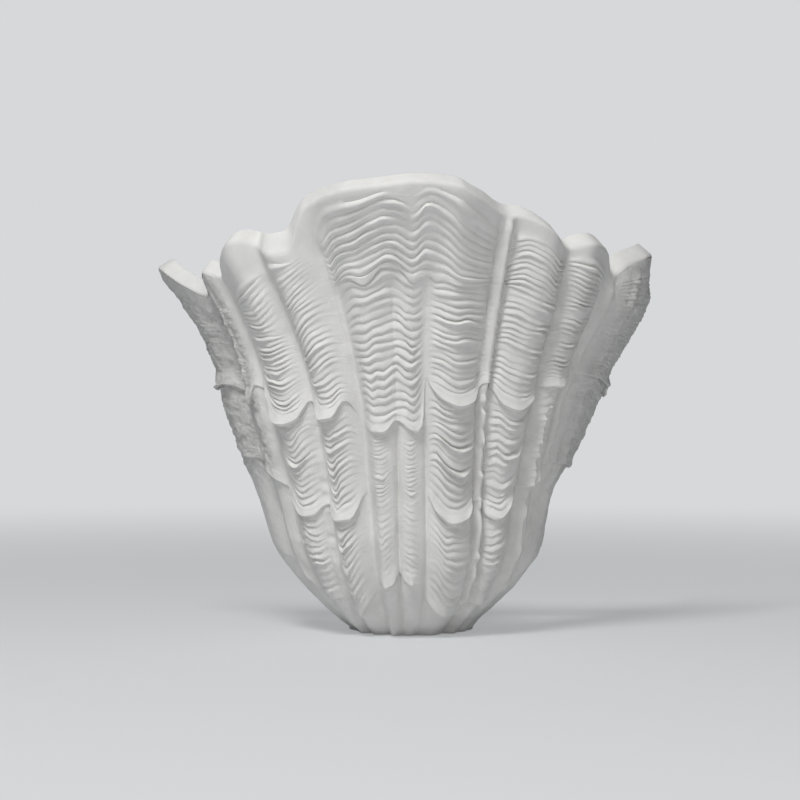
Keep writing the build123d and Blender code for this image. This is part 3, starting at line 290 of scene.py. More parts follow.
# Narrow ridges and cracks that run up a rib or valley: place at the foot and at the rim, height, half-width
# below and above, depth of the groove on each side, lowest and highest level, and how torn it is. A negative
# height cuts a crack, or deepens a valley where it is wide.
ridgeColumns = ("foot", "rim", "height", "narrow", "wide", "groove", "from", "to", "torn")
ridges = [
    (7, 7, 4.6, 1.9, 2.7, 3, 14, 280, 0.45),  # the strong rod between the first two ribs on the right
    (3, 3, 3.8, 2.2, 2.6, 2.2, 60, 246, 0.3),  # the rod on the third
    (3.3, 3.28, -4, 1, 1.1, 0, 120, 240, 0.2),  # the crack beside it
    (13.5, 12.9, 1.5, 1.3, 1.6, 0.3, 176, 266, 0.1),  # the fine edge in the wide valley
    (18.2, 18.3, 1.5, 1.4, 1.5, 0.5, 150, 246, 0.4),
    (5.05, 5, -2.6, 1.1, 1.1, 0, 20, 250, 0.3),
    (4.3, 4.4, 2.4, 1.4, 1.5, 1.6, 20, 160, 0.5),
    (15.1, 15.1, 1.3, 1.8, 2, 0.6, 20, 140, 0.5),
    (13.05, 13.05, -2.4, 5.5, 5.5, 0, 10, 262, 0),
    (15, 15, -1.8, 3.5, 3.5, 0, 10, 240, 0.2),
    (17.05, 17.05, -1.8, 3, 3, 0, 10, 225, 0.3),
    (4.95, 4.95, -1.8, 3, 3, 0, 10, 240, 0.3),
    (2.3, 2.3, 2.6, 1.4, 1.6, 1.8, 60, 250, 0.6),
    (1.3, 1.3, 1.5, 1.4, 1.6, 0.8, 110, 240, 0.7),
    (11, 11, -1.8, 1.5, 1.5, 0, -10, 150, 0.1),
    (8.95, 8.95, -1.8, 1.5, 1.5, 0, -10, 150, 0.1),
    (16.9, 16.95, 1.3, 1.3, 1.4, 0.6, 20, 226, 0.4),
]

ridgeShape = {
    "narrowBelow": 150.0,  # a ridge is narrow and more torn below this level
    "widensOver": 30.0,
    "tornLength": 4.5,  # spacing of its torn places
    "tornBelow": 1.2,  # share of its tearing that shows there, which is 1 less above
    "grooveAt": 1.9,  # the groove's distance from the ridge, in half-widths
    "grooveSharpness": 0.5,
    "endLength": 14.0,  # a ridge rises and ends over this height
    "seed": 51,
    "fieldStep": 7.0,  # each ridge reads a line of the field this far from the last one's
}

ribTable = np.array(ribLines)
ribPlaces = np.arange(len(ribLines))


def readPairs(pairs, places, column=1):  # smooth curve through one column of a table of places
    table = np.array(pairs, float)
    return smoothRead(table[:, 0], table[:, column], places)


# Places of the mesh's columns, counted in rib lines and closer together beside each line.
def columnPlaces():
    places = []
    for first, second in zip(ribLines, ribLines[1:]):
        arc = math.radians(second[1] - first[1]) * shell["usualRadius"]
        count = max(shell["leastColumns"], round(arc / shell["columnSpacing"]))
        share = np.arange(count) / count
        places.append(len(places) + share - 0.5 * np.sin(2 * np.pi * share) / (2 * np.pi))
    return np.append(np.concatenate(places), len(ribLines) - 1.0)


def rimAt(places):
    return readPairs(rimLine, places)


def rimDropAt(places):
    return readPairs(rimLine, places, 2)


# Relief across the ribs: from a valley to a crest it follows half a cosine, or a quarter sine where the
# valley is a sharp crease. Creases soften towards the rim.
def reliefAt(places, level):
    at = np.clip(np.floor(places).astype(int), 0, len(ribLines) - 2)
    t = places - at
    first, second = ribTable[at, 3], ribTable[at + 1, 3]
    rising = second > first
    crease = np.where(rising, ribTable[at, 4], ribTable[at + 1, 4])
    half = (1 - np.cos(np.pi * t)) / 2
    quarter = np.where(rising, np.sin(np.pi * t / 2), 1 - np.cos(np.pi * t / 2))
    softer = easeIn((level - shell["creasesSoftenFrom"]) / shell["creasesSoftenOver"])
    crease = crease * (1 - shell["creaseSoftening"] * softer)
    ribbed = first + (second - first) * (half * (1 - crease) + quarter * crease)
    (start, end), (startWidth, endWidth) = shell["calmPlaces"], shell["calmEdges"]
    calm = easeIn((level - shell["calmFrom"]) / shell["calmOver"])
    calm = calm * easeIn((places - start) / startWidth) * easeIn((end - places) / endWidth)
    return ribbed + (shell["calmRelief"] - ribbed) * calm


# Angle of each column at a level: straight between its low, middle and rim angles.
def angleAt(places, level):
    rim, mid, low = (smoothRead(ribPlaces, ribTable[:, k], places) for k in range(3))
    rimLevel = rimAt(places)
    lower = np.clip((level - shell["lowLevel"]) / (shell["midLevel"] - shell["lowLevel"]), 0, 1)
    upper = np.clip((level - shell["midLevel"]) / (rimLevel - shell["midLevel"]), 0, 1.02)
    return low + (mid - low) * lower + (rim - mid) * upper


# Radius of the ribbed bowl: an ellipse's radius in the direction of the angle, plus the relief, which fades
# towards the foot.
def ribbedRadius(places, level):
    angle = np.radians(angleAt(places, level))
    halfWidth = np.where(angle < np.pi / 2, smoothRead(shell["levels"], shell["rightHalfWidths"], level),
                         smoothRead(shell["levels"], shell["leftHalfWidths"], level))
    depth = smoothRead(shell["levels"], shell["depths"], level)
    bowl = 1 / np.hypot(np.cos(angle) / halfWidth, np.sin(angle) / depth)
    rimLevel = rimAt(places)
    atFoot = shell["reliefAtFoot"]
    return bowl + reliefAt(places, level) * (atFoot + (1 - atFoot) * level / rimLevel)


# Narrow ridges: a bell curve over the distance round the bowl, less a sharper one for the groove on each
# side. Below the main ledge a ridge is narrow and its height is more torn.
def ridgeHeight(places, level, radius):
    angle = np.radians(angleAt(places, level))
    rimLevel = rimAt(places)
    total = np.zeros_like(level)
    for number, row in enumerate(ridges):
        ridge = dict(zip(ridgeColumns, row))
        line = ridge["foot"] + (ridge["rim"] - ridge["foot"]) * level / rimLevel
        away = (angle - np.radians(angleAt(line, level))) * radius
        upper = easeIn((level - ridgeShape["narrowBelow"]) / ridgeShape["widensOver"])
        halfWidth = ridge["narrow"] + (ridge["wide"] - ridge["narrow"]) * upper
        reach = away / halfWidth
        fieldLine = np.full_like(level, number * ridgeShape["fieldStep"])
        torn = uneven(level / ridgeShape["tornLength"], fieldLine, ridgeShape["seed"])
        torn = 1 + ridge["torn"] * (ridgeShape["tornBelow"] - upper) * torn
        groove = np.exp(-(np.abs(reach) - ridgeShape["grooveAt"]) ** 2 / ridgeShape["grooveSharpness"])
        height = ridge["height"] * torn * np.exp(-reach ** 2) - ridge["groove"] * groove
        starts = easeIn((level - ridge["from"]) / ridgeShape["endLength"])
        total += height * starts * easeIn((ridge["to"] - level) / ridgeShape["endLength"])
    return total


# A line's level smoothed over its neighbours by a bell curve that is wider across the middle columns. It is
# worked out on even steps along the rib lines.
def smoothedLine(places, level):
    perLine = 20
    reach = 2 * perLine
    even = np.linspace(0, len(ribLines) - 1, (len(ribLines) - 1) * perLine + 1)
    padded = np.pad(np.interp(even, places, level), reach, mode="edge")
    steps = np.arange(-reach, reach + 1) / perLine
    bells = [np.exp(-(steps / width) ** 2) for width in ripples["bellWidths"]]
    lines = [np.convolve(padded, bell / bell.sum(), "valid") for bell in bells]
    narrow, wide = (np.interp(places, even, line) for line in lines)
    start, end, fade = ripples["middle"]
    return narrow + (wide - narrow) * easeIn((places - start) / fade) * easeIn((end - places) / fade)


# Unevenness along the ripples: seed, length of its bumps, and how far apart the lines of the field lie that
# one ripple and the next, and one band and the next, read.
unevenness = {
    "edge": (11, 6.0, 0.0, 7.3),
    "jut": (12, 5.0, 0.0, 5.1),
    "gap": (21, 11.0, 2.7, 40.0),
    "fineGap": (22, 5.0, 1.9, 30.0),
    "patch": (31, 12.0, 2.9, 33.0),
    "end": (32, 5.0, 3.1, 27.0),
}


def wander(kind, places, band, ripple=0):  # an uneven field read along one ripple
    seed, length, perRipple, perBand = unevenness[kind]
    along = places * shell["ribWidth"]
    return uneven(along / length, ripple * perRipple + band * perBand + 0 * along, seed)


# Rows of the outside from the rim down to the foot, as levels, outward offsets and ripple phases. Ripples
# follow the edges above and below them only beside these, and run smoother between. A ripple's rows run from
# its root to its edge, and its offset follows the crisp or the soft shape. Each ledge adds a jut that dies
# away above its free edge.
def outsideRows(places):
    zero = np.zeros(len(places))
    droop = readPairs(ripples["droop"], places)
    softest = readPairs(ripples["softness"], places)
    smoothHeight = readPairs(rimBand, places)
    usual, patches, ends, limit = ripples["evenness"]
    plainShare, plainJut = ripples["plainAbove"]
    faintest, fullFrom = ripples["faintest"]
    lipShare, lipLeast = ripples["lip"]
    names = ["upper", "main", "low", "foot"]
    top = rimAt(places) - rimDropAt(places) - shell["rimRounding"]
    rows = [(top - smoothHeight * share, zero, zero) for share in ripples["calmRows"]]
    top = top - smoothHeight
    for band, number in enumerate(ripples["counts"]):
        last = band == len(names)
        if last:
            bottom, jut = zero + ripples["lowestRow"], zero
        else:
            ledge = ledges[names[band]]
            bottom = readPairs(ledge, places) + ripples["edgeWaver"] * wander("edge", places, band)
            jut = readPairs(ledge, places, 2)
            jut = jut * easeIn((jut - faintest) / fullFrom) * ripples["jutShare"][band]
            jut = jut * (1 + ripples["jutWaver"] * wander("jut", places, band))
        strength = readPairs(ripples["strength"][band], places)
        softness = softest * ripples["softShare"][band]
        height = top - bottom
        ripple = np.arange(number)[:, None]
        gaps = sum(part * wander(kind, places, band, ripple) for kind, part in ripples["gapShares"].items())
        gaps = 1 + ripples["waver"][band] * gaps
        share = np.concatenate([[zero], np.cumsum(gaps, axis=0) / gaps.sum(axis=0)])
        between = np.maximum(np.sin(np.pi * share), 0)
        bend = droop * ripples["droopShare"][band] * between ** 0.5
        bend = bend * np.clip(height / ripples["fullDroopHeight"], 0, 1)
        loose = between ** ripples["looseness"]
        upper = top * (1 - loose) + smoothedLine(places, top) * loose
        lower = bottom * (1 - loose) + smoothedLine(places, bottom) * loose
        edges = np.minimum.accumulate(upper + (lower - upper) * share - bend, axis=0)
        step = np.arange(number + 1)[:, None] * ripples["leastStep"]
        edges = np.clip(edges, bottom + step[::-1], top - step)
        for k in range(number):
            even = usual + patches * wander("patch", places, band, k) + ends * wander("end", places, band, k)
            amount = ripples["rise"] * strength * np.clip(even, 0.0, limit)
            for middle, halfWidth, accentLevel, accentJut in ripples["accents"]:
                spacing = np.interp(middle, places, height) / number
                if abs(np.interp(middle, places, edges[k + 1]) - accentLevel) < 0.5 * spacing:
                    amount = amount + accentJut * np.exp(-((places - middle) / halfWidth) ** 4)
            for rowShare, crisp, soft in zip(ripples["shares"], ripples["crisp"], ripples["soft"]):
                level = edges[k] + (edges[k + 1] - edges[k]) * rowShare
                above = level - bottom
                flare = jut * np.clip(1 - above / ripples["flare"], 0, 1) ** 1.5
                calm = easeIn((above - plainShare * jut) / (1 + ripples["smoothAboveEdge"] * jut))
                calm = np.maximum(calm, 1 - np.clip(jut / plainJut, 0, 1))
                shape = crisp * (1 - softness) + soft * softness
                phase = ripples["streakStep"] * (k + rowShare) + ripples["bandShift"] * band
                rows.append((level, flare + amount * calm * shape, zero + phase))
        if not last:  # the lip's lowest point, then the undercut behind it
            rows.append((bottom - lipShare * jut - lipLeast, ripples["lipJut"] * jut, zero + phase))
            top = bottom + ripples["hang"] * jut - ripples["leastUndercut"]
            rows.append((top, zero, zero + phase))
    return [np.array(column) for column in zip(*rows)]


# A rounded corner: a square curve from the first point to the last, drawn towards the corner.
def corner(first, turn, last, steps=4):
    t = np.linspace(0, 1, steps)[:, None]
    return [(first[k] * (1 - t) ** 2 + 2 * turn[k] * t * (1 - t) + last[k] * t ** 2) for k in range(2)]


# How rough the plaster is: much on the outer ribs, mostly above the low ledge, and a little elsewhere.
roughCastLook = {
    "right": (0.75, 3.1, 1.0),  # strength, place where it starts and over how many rib lines it grows
    "left": (0.85, 17.2, 0.8),
    "from": 96.0,
    "over": 20.0,
    "lowOnRight": 0.3,
    "elsewhere": 0.06,
}

# Unevenness of the cast: seed, depth, size across and size up. The rough kinds show only where it is rough.
castBumps = [(41, 0.35, 16.0, 16.0), (42, 0.14, 5.0, 5.0)]
roughBumps = [(43, 0.8, 2.6, 2.6), (44, 0.8, 8.0, 6.0)]


def roughness(places, level):
    look = roughCastLook
    above = easeIn((level - look["from"]) / look["over"])
    strength, start, width = look["right"]
    below = look["lowOnRight"]
    right = strength * easeIn((start - places) / width) * (below + (1 - below) * above)
    strength, start, width = look["left"]
    left = strength * easeIn((places - start) / width) * above
    return np.clip(right + left + look["elsewhere"], 0, 1)


def bumpsAt(bumps, places, level):  # the sum of uneven fields, each times its depth
    along = places * shell["ribWidth"]
    return sum(depth * uneven(along / wide, level / high, seed) for seed, depth, wide, high in bumps)


# The shell's outline at each column, from the foot up the outside, over the rim, down the inside, across the
# floor and back along the underside: levels, radii, the ripple phases of the outside and the floor's row.
def shellRows(places):
    outLevels, outOffsets, phases = outsideRows(places)
    outPlaces = np.broadcast_to(places, outLevels.shape)
    radius = ribbedRadius(outPlaces, outLevels)
    bumps = (bumpsAt(castBumps, outPlaces, outLevels)
             + roughness(outPlaces, outLevels) * bumpsAt(roughBumps, outPlaces, outLevels))
    (footEnd, footFade), (rimEnd, rimFade) = shell["plainFoot"], shell["plainRim"]
    belowRim = rimAt(outPlaces) - outLevels
    share = easeIn((outLevels - footEnd) / footFade) * easeIn((belowRim - rimEnd) / rimFade)
    radius = radius + outOffsets + (ridgeHeight(outPlaces, outLevels, radius) + bumps) * share
    # rim: rounded outer edge, face, rounded inner edge
    rim, drop, wall, r = rimAt(places), rimDropAt(places), shell["wall"], shell["rimRounding"]
    length = np.hypot(drop, wall)
    atEdge = ribbedRadius(places, rim - drop)
    atRim = ribbedRadius(places, rim) - wall
    along = [(atRim - atEdge) / length, drop / length]
    outer = corner((radius[0], rim - drop - r), (atEdge, rim - drop),
                   (atEdge + along[0] * r, rim - drop + along[1] * r))
    inner = corner((atRim - along[0] * r, rim - along[1] * r), (atRim, rim),
                   (ribbedRadius(places, rim - r) - wall, rim - r))
    # inside wall down to a rounded corner with the floor
    rest = np.linspace(0, 1, shell["innerRows"])[1:, None]
    level = 0 * places
    floor, fillet, gain = shell["floorTop"], shell["floorCorner"], shell["wallGainAtFoot"]
    down = (rim - r) + (floor + fillet - rim + r) * rest
    thickness = wall + gain * np.exp(-down / shell["lowLevel"])
    downRadius = ribbedRadius(np.broadcast_to(places, down.shape), down) - thickness
    lastRadius = downRadius[-1]
    filletRows = corner((lastRadius, level + floor + fillet), (lastRadius, level + floor),
                        (lastRadius - fillet, level + floor))
    # underside: the recess, its edge, the ring that the shell stands on and its outer edge
    footWall = ribbedRadius(places, level) - wall - gain
    footOuter, recess = radius[-1], shell["floorRecess"]
    under = [(0.6 * footWall, recess), (footWall, recess)]
    under += [(footWall + away, up) for away, up in shell["footInnerEdge"]]
    under += [(0.5 * (footWall + footOuter), 0.0)]
    under += [(footOuter - away, up) for away, up in shell["footOuterEdge"]]
    radii = [radius[::-1], outer[0][1:], inner[0], downRadius, filletRows[0][1:], 0.5 * lastRadius[None]]
    levels = [outLevels[::-1], outer[1][1:], inner[1], down, filletRows[1][1:], floor + level[None]]
    floorRow = sum(len(rows) for rows in radii) - 1
    radii += [row[0][None] for row in under]
    levels += [row[1] + level[None] for row in under]
    return np.concatenate(levels), np.concatenate(radii), phases[::-1], floorRow


def addObject(name, data):
    item = bpy.data.objects.new(name, data)
    bpy.context.scene.collection.objects.link(item)
    return item


def addMesh(name, points, faces, body, sharpAbove):
    mesh = bpy.data.meshes.new(name)
    mesh.from_pydata(points, [], faces)
    mesh.update()
    piece = addObject(name, mesh)
    mesh.polygons.foreach_set("use_smooth", np.ones(len(mesh.polygons), bool))
    mesh.set_sharp_from_angle(angle=math.radians(sharpAbove))
    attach(piece, body)
    return piece


boss = {"innerX": 76.0, "foot": 4.0, "height": 40.0, "inWall": 6.0, "back": 5.0, "depth": 17.0, "corner": 4.0,
        "backEdge": 0.8, "frontEdge": [(2.0, 0.0), (0.9, 0.35), (0.25, 1.0), (0.0, 2.0)]}


# A hanger boss on one side: an outline with two rounded inner corners, whose outer end is inside the leaning
# wall, carried from its back to its front with the edges drawn in towards its middle.
def makeBoss(side):
    levels = shell["footBelowOrigin"] + boss["foot"] + np.array([0, boss["height"]])
    widths = shell["rightHalfWidths"] if side > 0 else shell["leftHalfWidths"]
    ends = smoothRead(shell["levels"], widths, levels) - boss["inWall"]
    low, high, turn = boss["foot"], boss["foot"] + boss["height"], boss["corner"]
    quarter = np.radians(np.linspace(0, 90, 7))
    across, up = turn * (1 - np.sin(quarter)), turn * (1 - np.cos(quarter))
    x = np.concatenate([ends[:1], boss["innerX"] + across, boss["innerX"] + up, ends[1:]])
    z = np.concatenate([[low], low + up, high - across, [high]])
    middle = np.array([(x.min() + x.max()) / 2, (low + high) / 2])
    half = np.array([(x.max() - x.min()) / 2, (high - low) / 2])
    back, front = -boss["back"], -boss["back"] - boss["depth"]
    stack = [(back, boss["backEdge"]), (back - boss["backEdge"], 0)]
    stack += [(front + behind, inset) for behind, inset in boss["frontEdge"]]
    rows = [np.column_stack([side * (middle[0] + (x - middle[0]) * (1 - inset / half[0])), np.full(len(x), y),
                             middle[1] + (z - middle[1]) * (1 - inset / half[1])]) for y, inset in stack]
    grid = np.arange(len(x) * len(stack)).reshape(len(stack), len(x))
    around = np.roll(grid, -1, axis=1)
    faces = np.stack([grid[:-1], grid[1:], around[1:], around[:-1]], -1).reshape(-1, 4)
    caps = [grid[0], grid[-1][::-1]]
    if side < 0:
        faces, caps = faces[:, ::-1], [cap[::-1] for cap in caps]
    return np.concatenate(rows), faces.tolist() + [cap.tolist() for cap in caps]


# The shell's outline at each column is one closed loop: outside, rim, inside, floor and underside. The floor
# and its underside run in to two points on the axis, and the loop's two ends on the wall are closed flat.
def makeShell():
    places = columnPlaces()
    level, radius, phases, floorRow = shellRows(places)
    rows, columns = level.shape
    wide = np.broadcast_to(places, level.shape)
    angle = np.radians(angleAt(wide, level))
    angle[:, 0], angle[:, -1] = 0, np.pi
    points = np.stack([radius * np.cos(angle), -radius * np.sin(angle), level - shell["footBelowOrigin"]], -1)
    points[:, [0, -1], 1] = 0
    axis = np.array([[0, 0, shell[name] - shell["footBelowOrigin"]] for name in ("floorTop", "floorRecess")])
    grid = np.arange(rows * columns).reshape(rows, columns)
    topPole, underPole = rows * columns, rows * columns + 1
    order = np.append(np.arange(floorRow + 1, rows), np.arange(floorRow + 1))  # the loop, cut at the axis
    strip = grid[order]
    quads = np.stack([strip[:-1, :-1], strip[1:, :-1], strip[1:, 1:], strip[:-1, 1:]], -1).reshape(-1, 4)
    ends = [(strip[-1, ::-1], topPole), (strip[0], underPole)]
    fans = [np.stack([row[:-1], row[1:], np.full(columns - 1, pole)], -1) for row, pole in ends]
    caps = [[topPole, *strip[::-1, 0], underPole], [underPole, *strip[:, -1], topPole]]
    faces = quads.tolist() + fans[0].tolist() + fans[1].tolist() + [[int(i) for i in cap] for cap in caps]
    outside = np.arange(rows)[:, None] < len(phases)
    rough = (roughness(wide, level) * outside).reshape(-1)
    phase = np.zeros_like(level)
    phase[:len(phases)] = phases
    flow = np.stack([shell["ribWidth"] * wide, phase, np.zeros_like(level)], -1).reshape(-1, 3)
    points = np.concatenate([points.reshape(-1, 3), axis])
    for side in (1, -1):
        block, blockFaces = makeBoss(side)
        faces += [[int(i) + len(points) for i in face] for face in blockFaces]
        points = np.concatenate([points, block])
    extra = len(points) - len(rough)
    return points, faces, np.append(rough, np.zeros(extra)), np.concatenate([flow, np.zeros((extra, 3))])


def fromHex(code):  # an sRGB hex colour as linear light
    value = np.array([int(code[k:k + 2], 16) for k in (1, 3, 5)]) / 255
    linear = np.where(value <= 0.04045, value / 12.92, ((value + 0.055) / 1.055) ** 2.4)
    return (*linear.tolist(), 1.0)


def addNode(owner, kind, settings, links=None):  # the owner is a material or a world
    tree = owner.node_tree
    node = tree.nodes.new("ShaderNode" + kind)
    for name, value in settings.items():
        if isinstance(name, str) and hasattr(node, name):
            setattr(node, name, value)
        else:
            node.inputs[name].default_value = value
    for name, socket in (links or {}).items():
        tree.links.new(socket, node.inputs[name])
    return node


def newMaterial(name):
    material = bpy.data.materials.new(name)
    material.use_nodes = True
    material.node_tree.nodes.clear()
    return material


def addPattern(material, kind, size, settings, output="Fac"):  # its cells are about size millimetres wide
    place = addNode(material, "TexCoord", {}).outputs["Object"]
    return addNode(material, kind, {"Scale": 1000 / size, **settings}, {"Vector": place}).outputs[output]


# What a material of the object starts with: a broad noise, and two close colours mixed by it.
def startMaterial(name, codes, size, settings):
    material = newMaterial(name)
    mottle = addPattern(material, "TexNoise", size, settings)
    tint = addNode(material, "ValToRGB", {}, {"Fac": mottle})
    for stop, place, code in zip(tint.color_ramp.elements, (0.35, 0.65), codes):
        stop.position, stop.color = place, fromHex(code)
    return material, mottle, tint.outputs["Color"]


# What it ends with: bumps one on another (name, strength, height in metres and pattern) and the surface.
def endMaterial(material, bumps, settings, links):
    below = {}
    for name, strength, height, pattern in bumps:
        bump = addNode(material, "Bump", {"label": name, "Strength": strength, "Distance": height},
                       {"Height": pattern, **below})
        below = {"Normal": bump.outputs["Normal"]}
    surface = addNode(material, "BsdfPrincipled", settings, {**links, **below})
    addNode(material, "OutputMaterial", {}, {"Surface": surface.outputs["BSDF"]})
    return material


bumpHeights = {"grain": 0.0002, "mottle": 0.0005, "ring": 0.0008}  # metres


# A finish with two close colours, a roughness that wanders with them, and a fine and a broad bump.
def makeFinish(name, look):
    (mottleSize, mottleDepth), (grainSize, grainDepth) = look["mottle"], look["grain"]
    material, mottle, colour = startMaterial(name, look["colours"], mottleSize,
                                             {"Detail": 3.0, "Distortion": 0.4})
    grain = addPattern(material, "TexNoise", grainSize, {"Detail": 2.0})
    if "stripe" in look:  # a second colour in slanting bands, each 0.18 of a cell wide
        bands = addPattern(material, "TexWave", look["stripeCell"], {"bands_direction": "DIAGONAL"})
        edge = addNode(material, "Math", {"operation": "GREATER_THAN", 1: 0.5}, {0: bands})
        mixed = addNode(material, "Mix", {"data_type": "RGBA", 7: fromHex(look["stripe"])},
                        {"Factor": edge.outputs["Value"], 6: colour})
        colour = mixed.outputs[2]
    bumps = [("grain", grainDepth, bumpHeights["grain"], grain),
             ("mottle", mottleDepth, bumpHeights["mottle"], mottle)]
    if "ringSpacing" in look:  # rings across the upright axis; a wave repeats every pi / 10 cells
        cells = look["ringSpacing"] * 10 / math.pi
        rings = addPattern(material, "TexWave", cells, {"bands_direction": "Z"})
        bumps.append(("ring", look["ringDepth"], bumpHeights["ring"], rings))
    low, high = look["roughness"]
    shine = addNode(material, "MapRange", {"To Min": low, "To Max": high}, {"Value": mottle})
    return endMaterial(material, bumps, look.get("shader", {}),
                       {"Base Color": colour, "Roughness": shine.outputs["Result"]})


metal = {"Metallic": 1.0}
glazed = {"Coat Weight": 0.7, "Coat Roughness": 0.06}
insulation = {"roughness": (0.35, 0.46), "mottle": (4.0, 0.05), "grain": (0.4, 0.08)}
finishes = {  # mottle and grain: size of the pattern in millimetres and strength of its bump
    # zinc-plated pressed steel: cool grey with cloudy patches and a faint rolling grain
    "zincPlatedSteel": {
        "colours": ("#B4B8BD", "#C8CBCF"), "roughness": (0.3, 0.46), "mottle": (7.0, 0.06),
        "grain": (0.5, 0.12), "shader": metal,
        "on": ["wall_plate", "lamp_arm", "hanger_right", "hanger_left"]},
    # bright-plated turned screws: smoother and a little darker
    "brightScrewSteel": {
        "colours": ("#A6A7AA", "#BABBBE"), "roughness": (0.2, 0.34), "mottle": (2.5, 0.04),
        "grain": (0.3, 0.1), "shader": metal,
        "on": ["arm_bolts", "arm_nuts", "terminal_screws", "block_screws", "hanger_screws"]},
    # moulded rubber: nearly black, dull, with a fine skin
    "mouldedRubber": {
        "colours": ("#151515", "#202020"), "roughness": (0.62, 0.78), "mottle": (3.0, 0.1),
        "grain": (0.4, 0.3), "on": ["cable_grommet"]},
    # turned brass: warm yellow with fine turning marks and slight tarnish
    "turnedBrass": {
        "colours": ("#AF8C48", "#C9A55C"), "roughness": (0.2, 0.36), "mottle": (3.0, 0.05),
        "grain": (0.3, 0.12), "shader": metal,
        "on": ["holder_nipple", "nipple_nut", "terminal_tubes", "earth_screw", "earth_washer"]},
    # pressed brass strip: paler, rolled smooth
    "pressedBrass": {
        "colours": ("#BC9B58", "#D0B06E"), "roughness": (0.18, 0.3), "mottle": (4.0, 0.04),
        "grain": (0.4, 0.08), "shader": metal, "on": ["side_contact", "centre_contact"]},
    # moulded heat-proof plastic: warm white, satin, with a faint spark-eroded skin
    "mouldedHolderPlastic": {
        "colours": ("#E2E0D9", "#E9E7E1"), "roughness": (0.36, 0.5), "mottle": (6.0, 0.05),
        "grain": (0.35, 0.16), "on": ["holder_cap", "holder_body"]},
    # glazed steatite: creamy white under a glassy coat
    "glazedSteatite": {
        "colours": ("#EAE7DF", "#F1EEE7"), "roughness": (0.12, 0.22), "mottle": (5.0, 0.08),
        "grain": (0.8, 0.05), "shader": glazed, "on": ["holder_core"]},
    # natural nylon: milky, satin
    "mouldedNylon": {
        "colours": ("#E1E1D7", "#EAEAE2"), "roughness": (0.38, 0.5), "mottle": (5.0, 0.05),
        "grain": (0.4, 0.12), "on": ["terminal_block"]},
    # tinned copper: soft grey-white metal with a dipped, slightly wavy skin
    "tinnedCopper": {
        "colours": ("#BFC0C1", "#D2D3D4"), "roughness": (0.26, 0.4), "mottle": (1.8, 0.12),
        "grain": (0.3, 0.1), "shader": metal, "on": ["earth_tag"]},
    # extruded lead insulation: smooth and slightly shiny
    "brownInsulation": {**insulation, "colours": ("#4A2A17", "#55321D"), "on": ["lead_live"]},
    "blueInsulation": {**insulation, "colours": ("#123E8A", "#194A9C"), "on": ["lead_neutral"]},
    "stripedInsulation": {
        **insulation, "colours": ("#2E7D32", "#37893B"), "stripe": "#E4CF2A", "stripeCell": 40.0,
        "on": ["lead_earth"]},
    # opal diffuser, lit from within: warm white with a satin skin
    "opalDiffuser": {
        "colours": ("#F2E9D6", "#F7F0E1"), "roughness": (0.3, 0.4), "mottle": (9.0, 0.04),
        "grain": (0.5, 0.05), "shader": {"Emission Color": fromHex("#FFE5BC"), "Emission Strength": 0.75},
        "on": ["bulb_globe"]},
    # moulded bulb housing: cool white, half gloss
    "mouldedHousing": {
        "colours": ("#E9E9E6", "#F0F0EE"), "roughness": (0.28, 0.38), "mottle": (6.0, 0.04),
        "grain": (0.4, 0.08), "on": ["bulb_collar"]},
    # rolled aluminium cap: pale metal with the thread's rings, drawn twice as far apart as they are
    "rolledAluminium": {
        "colours": ("#C6C7C9", "#D5D6D8"), "roughness": (0.26, 0.4), "mottle": (3.0, 0.05),
        "grain": (0.3, 0.1), "ringSpacing": 5.6, "ringDepth": 0.8, "shader": metal, "on": ["bulb_cap"]},
    # fused black glass: glossy, nearly black
    "fusedBlackGlass": {
        "colours": ("#0C0C0F", "#141418"), "roughness": (0.08, 0.16), "mottle": (2.0, 0.1),
        "grain": (0.5, 0.05), "on": ["bulb_insulator"]},
    # solder: dull grey, set in soft waves
    "solderedTin": {
        "colours": ("#97989B", "#ADAEB1"), "roughness": (0.32, 0.5), "mottle": (1.2, 0.25),
        "grain": (0.3, 0.12), "shader": metal, "on": ["bulb_contact"]},
}

for finishName, look in finishes.items():
    finish = makeFinish(finishName, look)
    for nodeName in look["on"]:
        nodes[nodeName].material_slots[0].material = finish
print("finishes:", len(finishes))

plasterLook = {
    "colours": ("#DAD9D6", "#E3E2DF"),
    "roughness": 0.82,
    "grain": 1.0,  # sandy casting grain, drawn coarser than it is so that it shows
    "patch": 14.0,
    "scratch": 5.0,
    "pit": 2.5,
    "streakLength": 14.0,  # along a ripple
    "streakWidth": 1.3,  # across it
    # strength of each bump and its height in metres
    "bumps": [("grain", 0.25, 0.0002), ("patch", 0.18, 0.0012), ("streak", 0.5, 0.0006),
              ("tear", 1.0, 0.0024), ("pit", 0.5, 0.0006)],
}


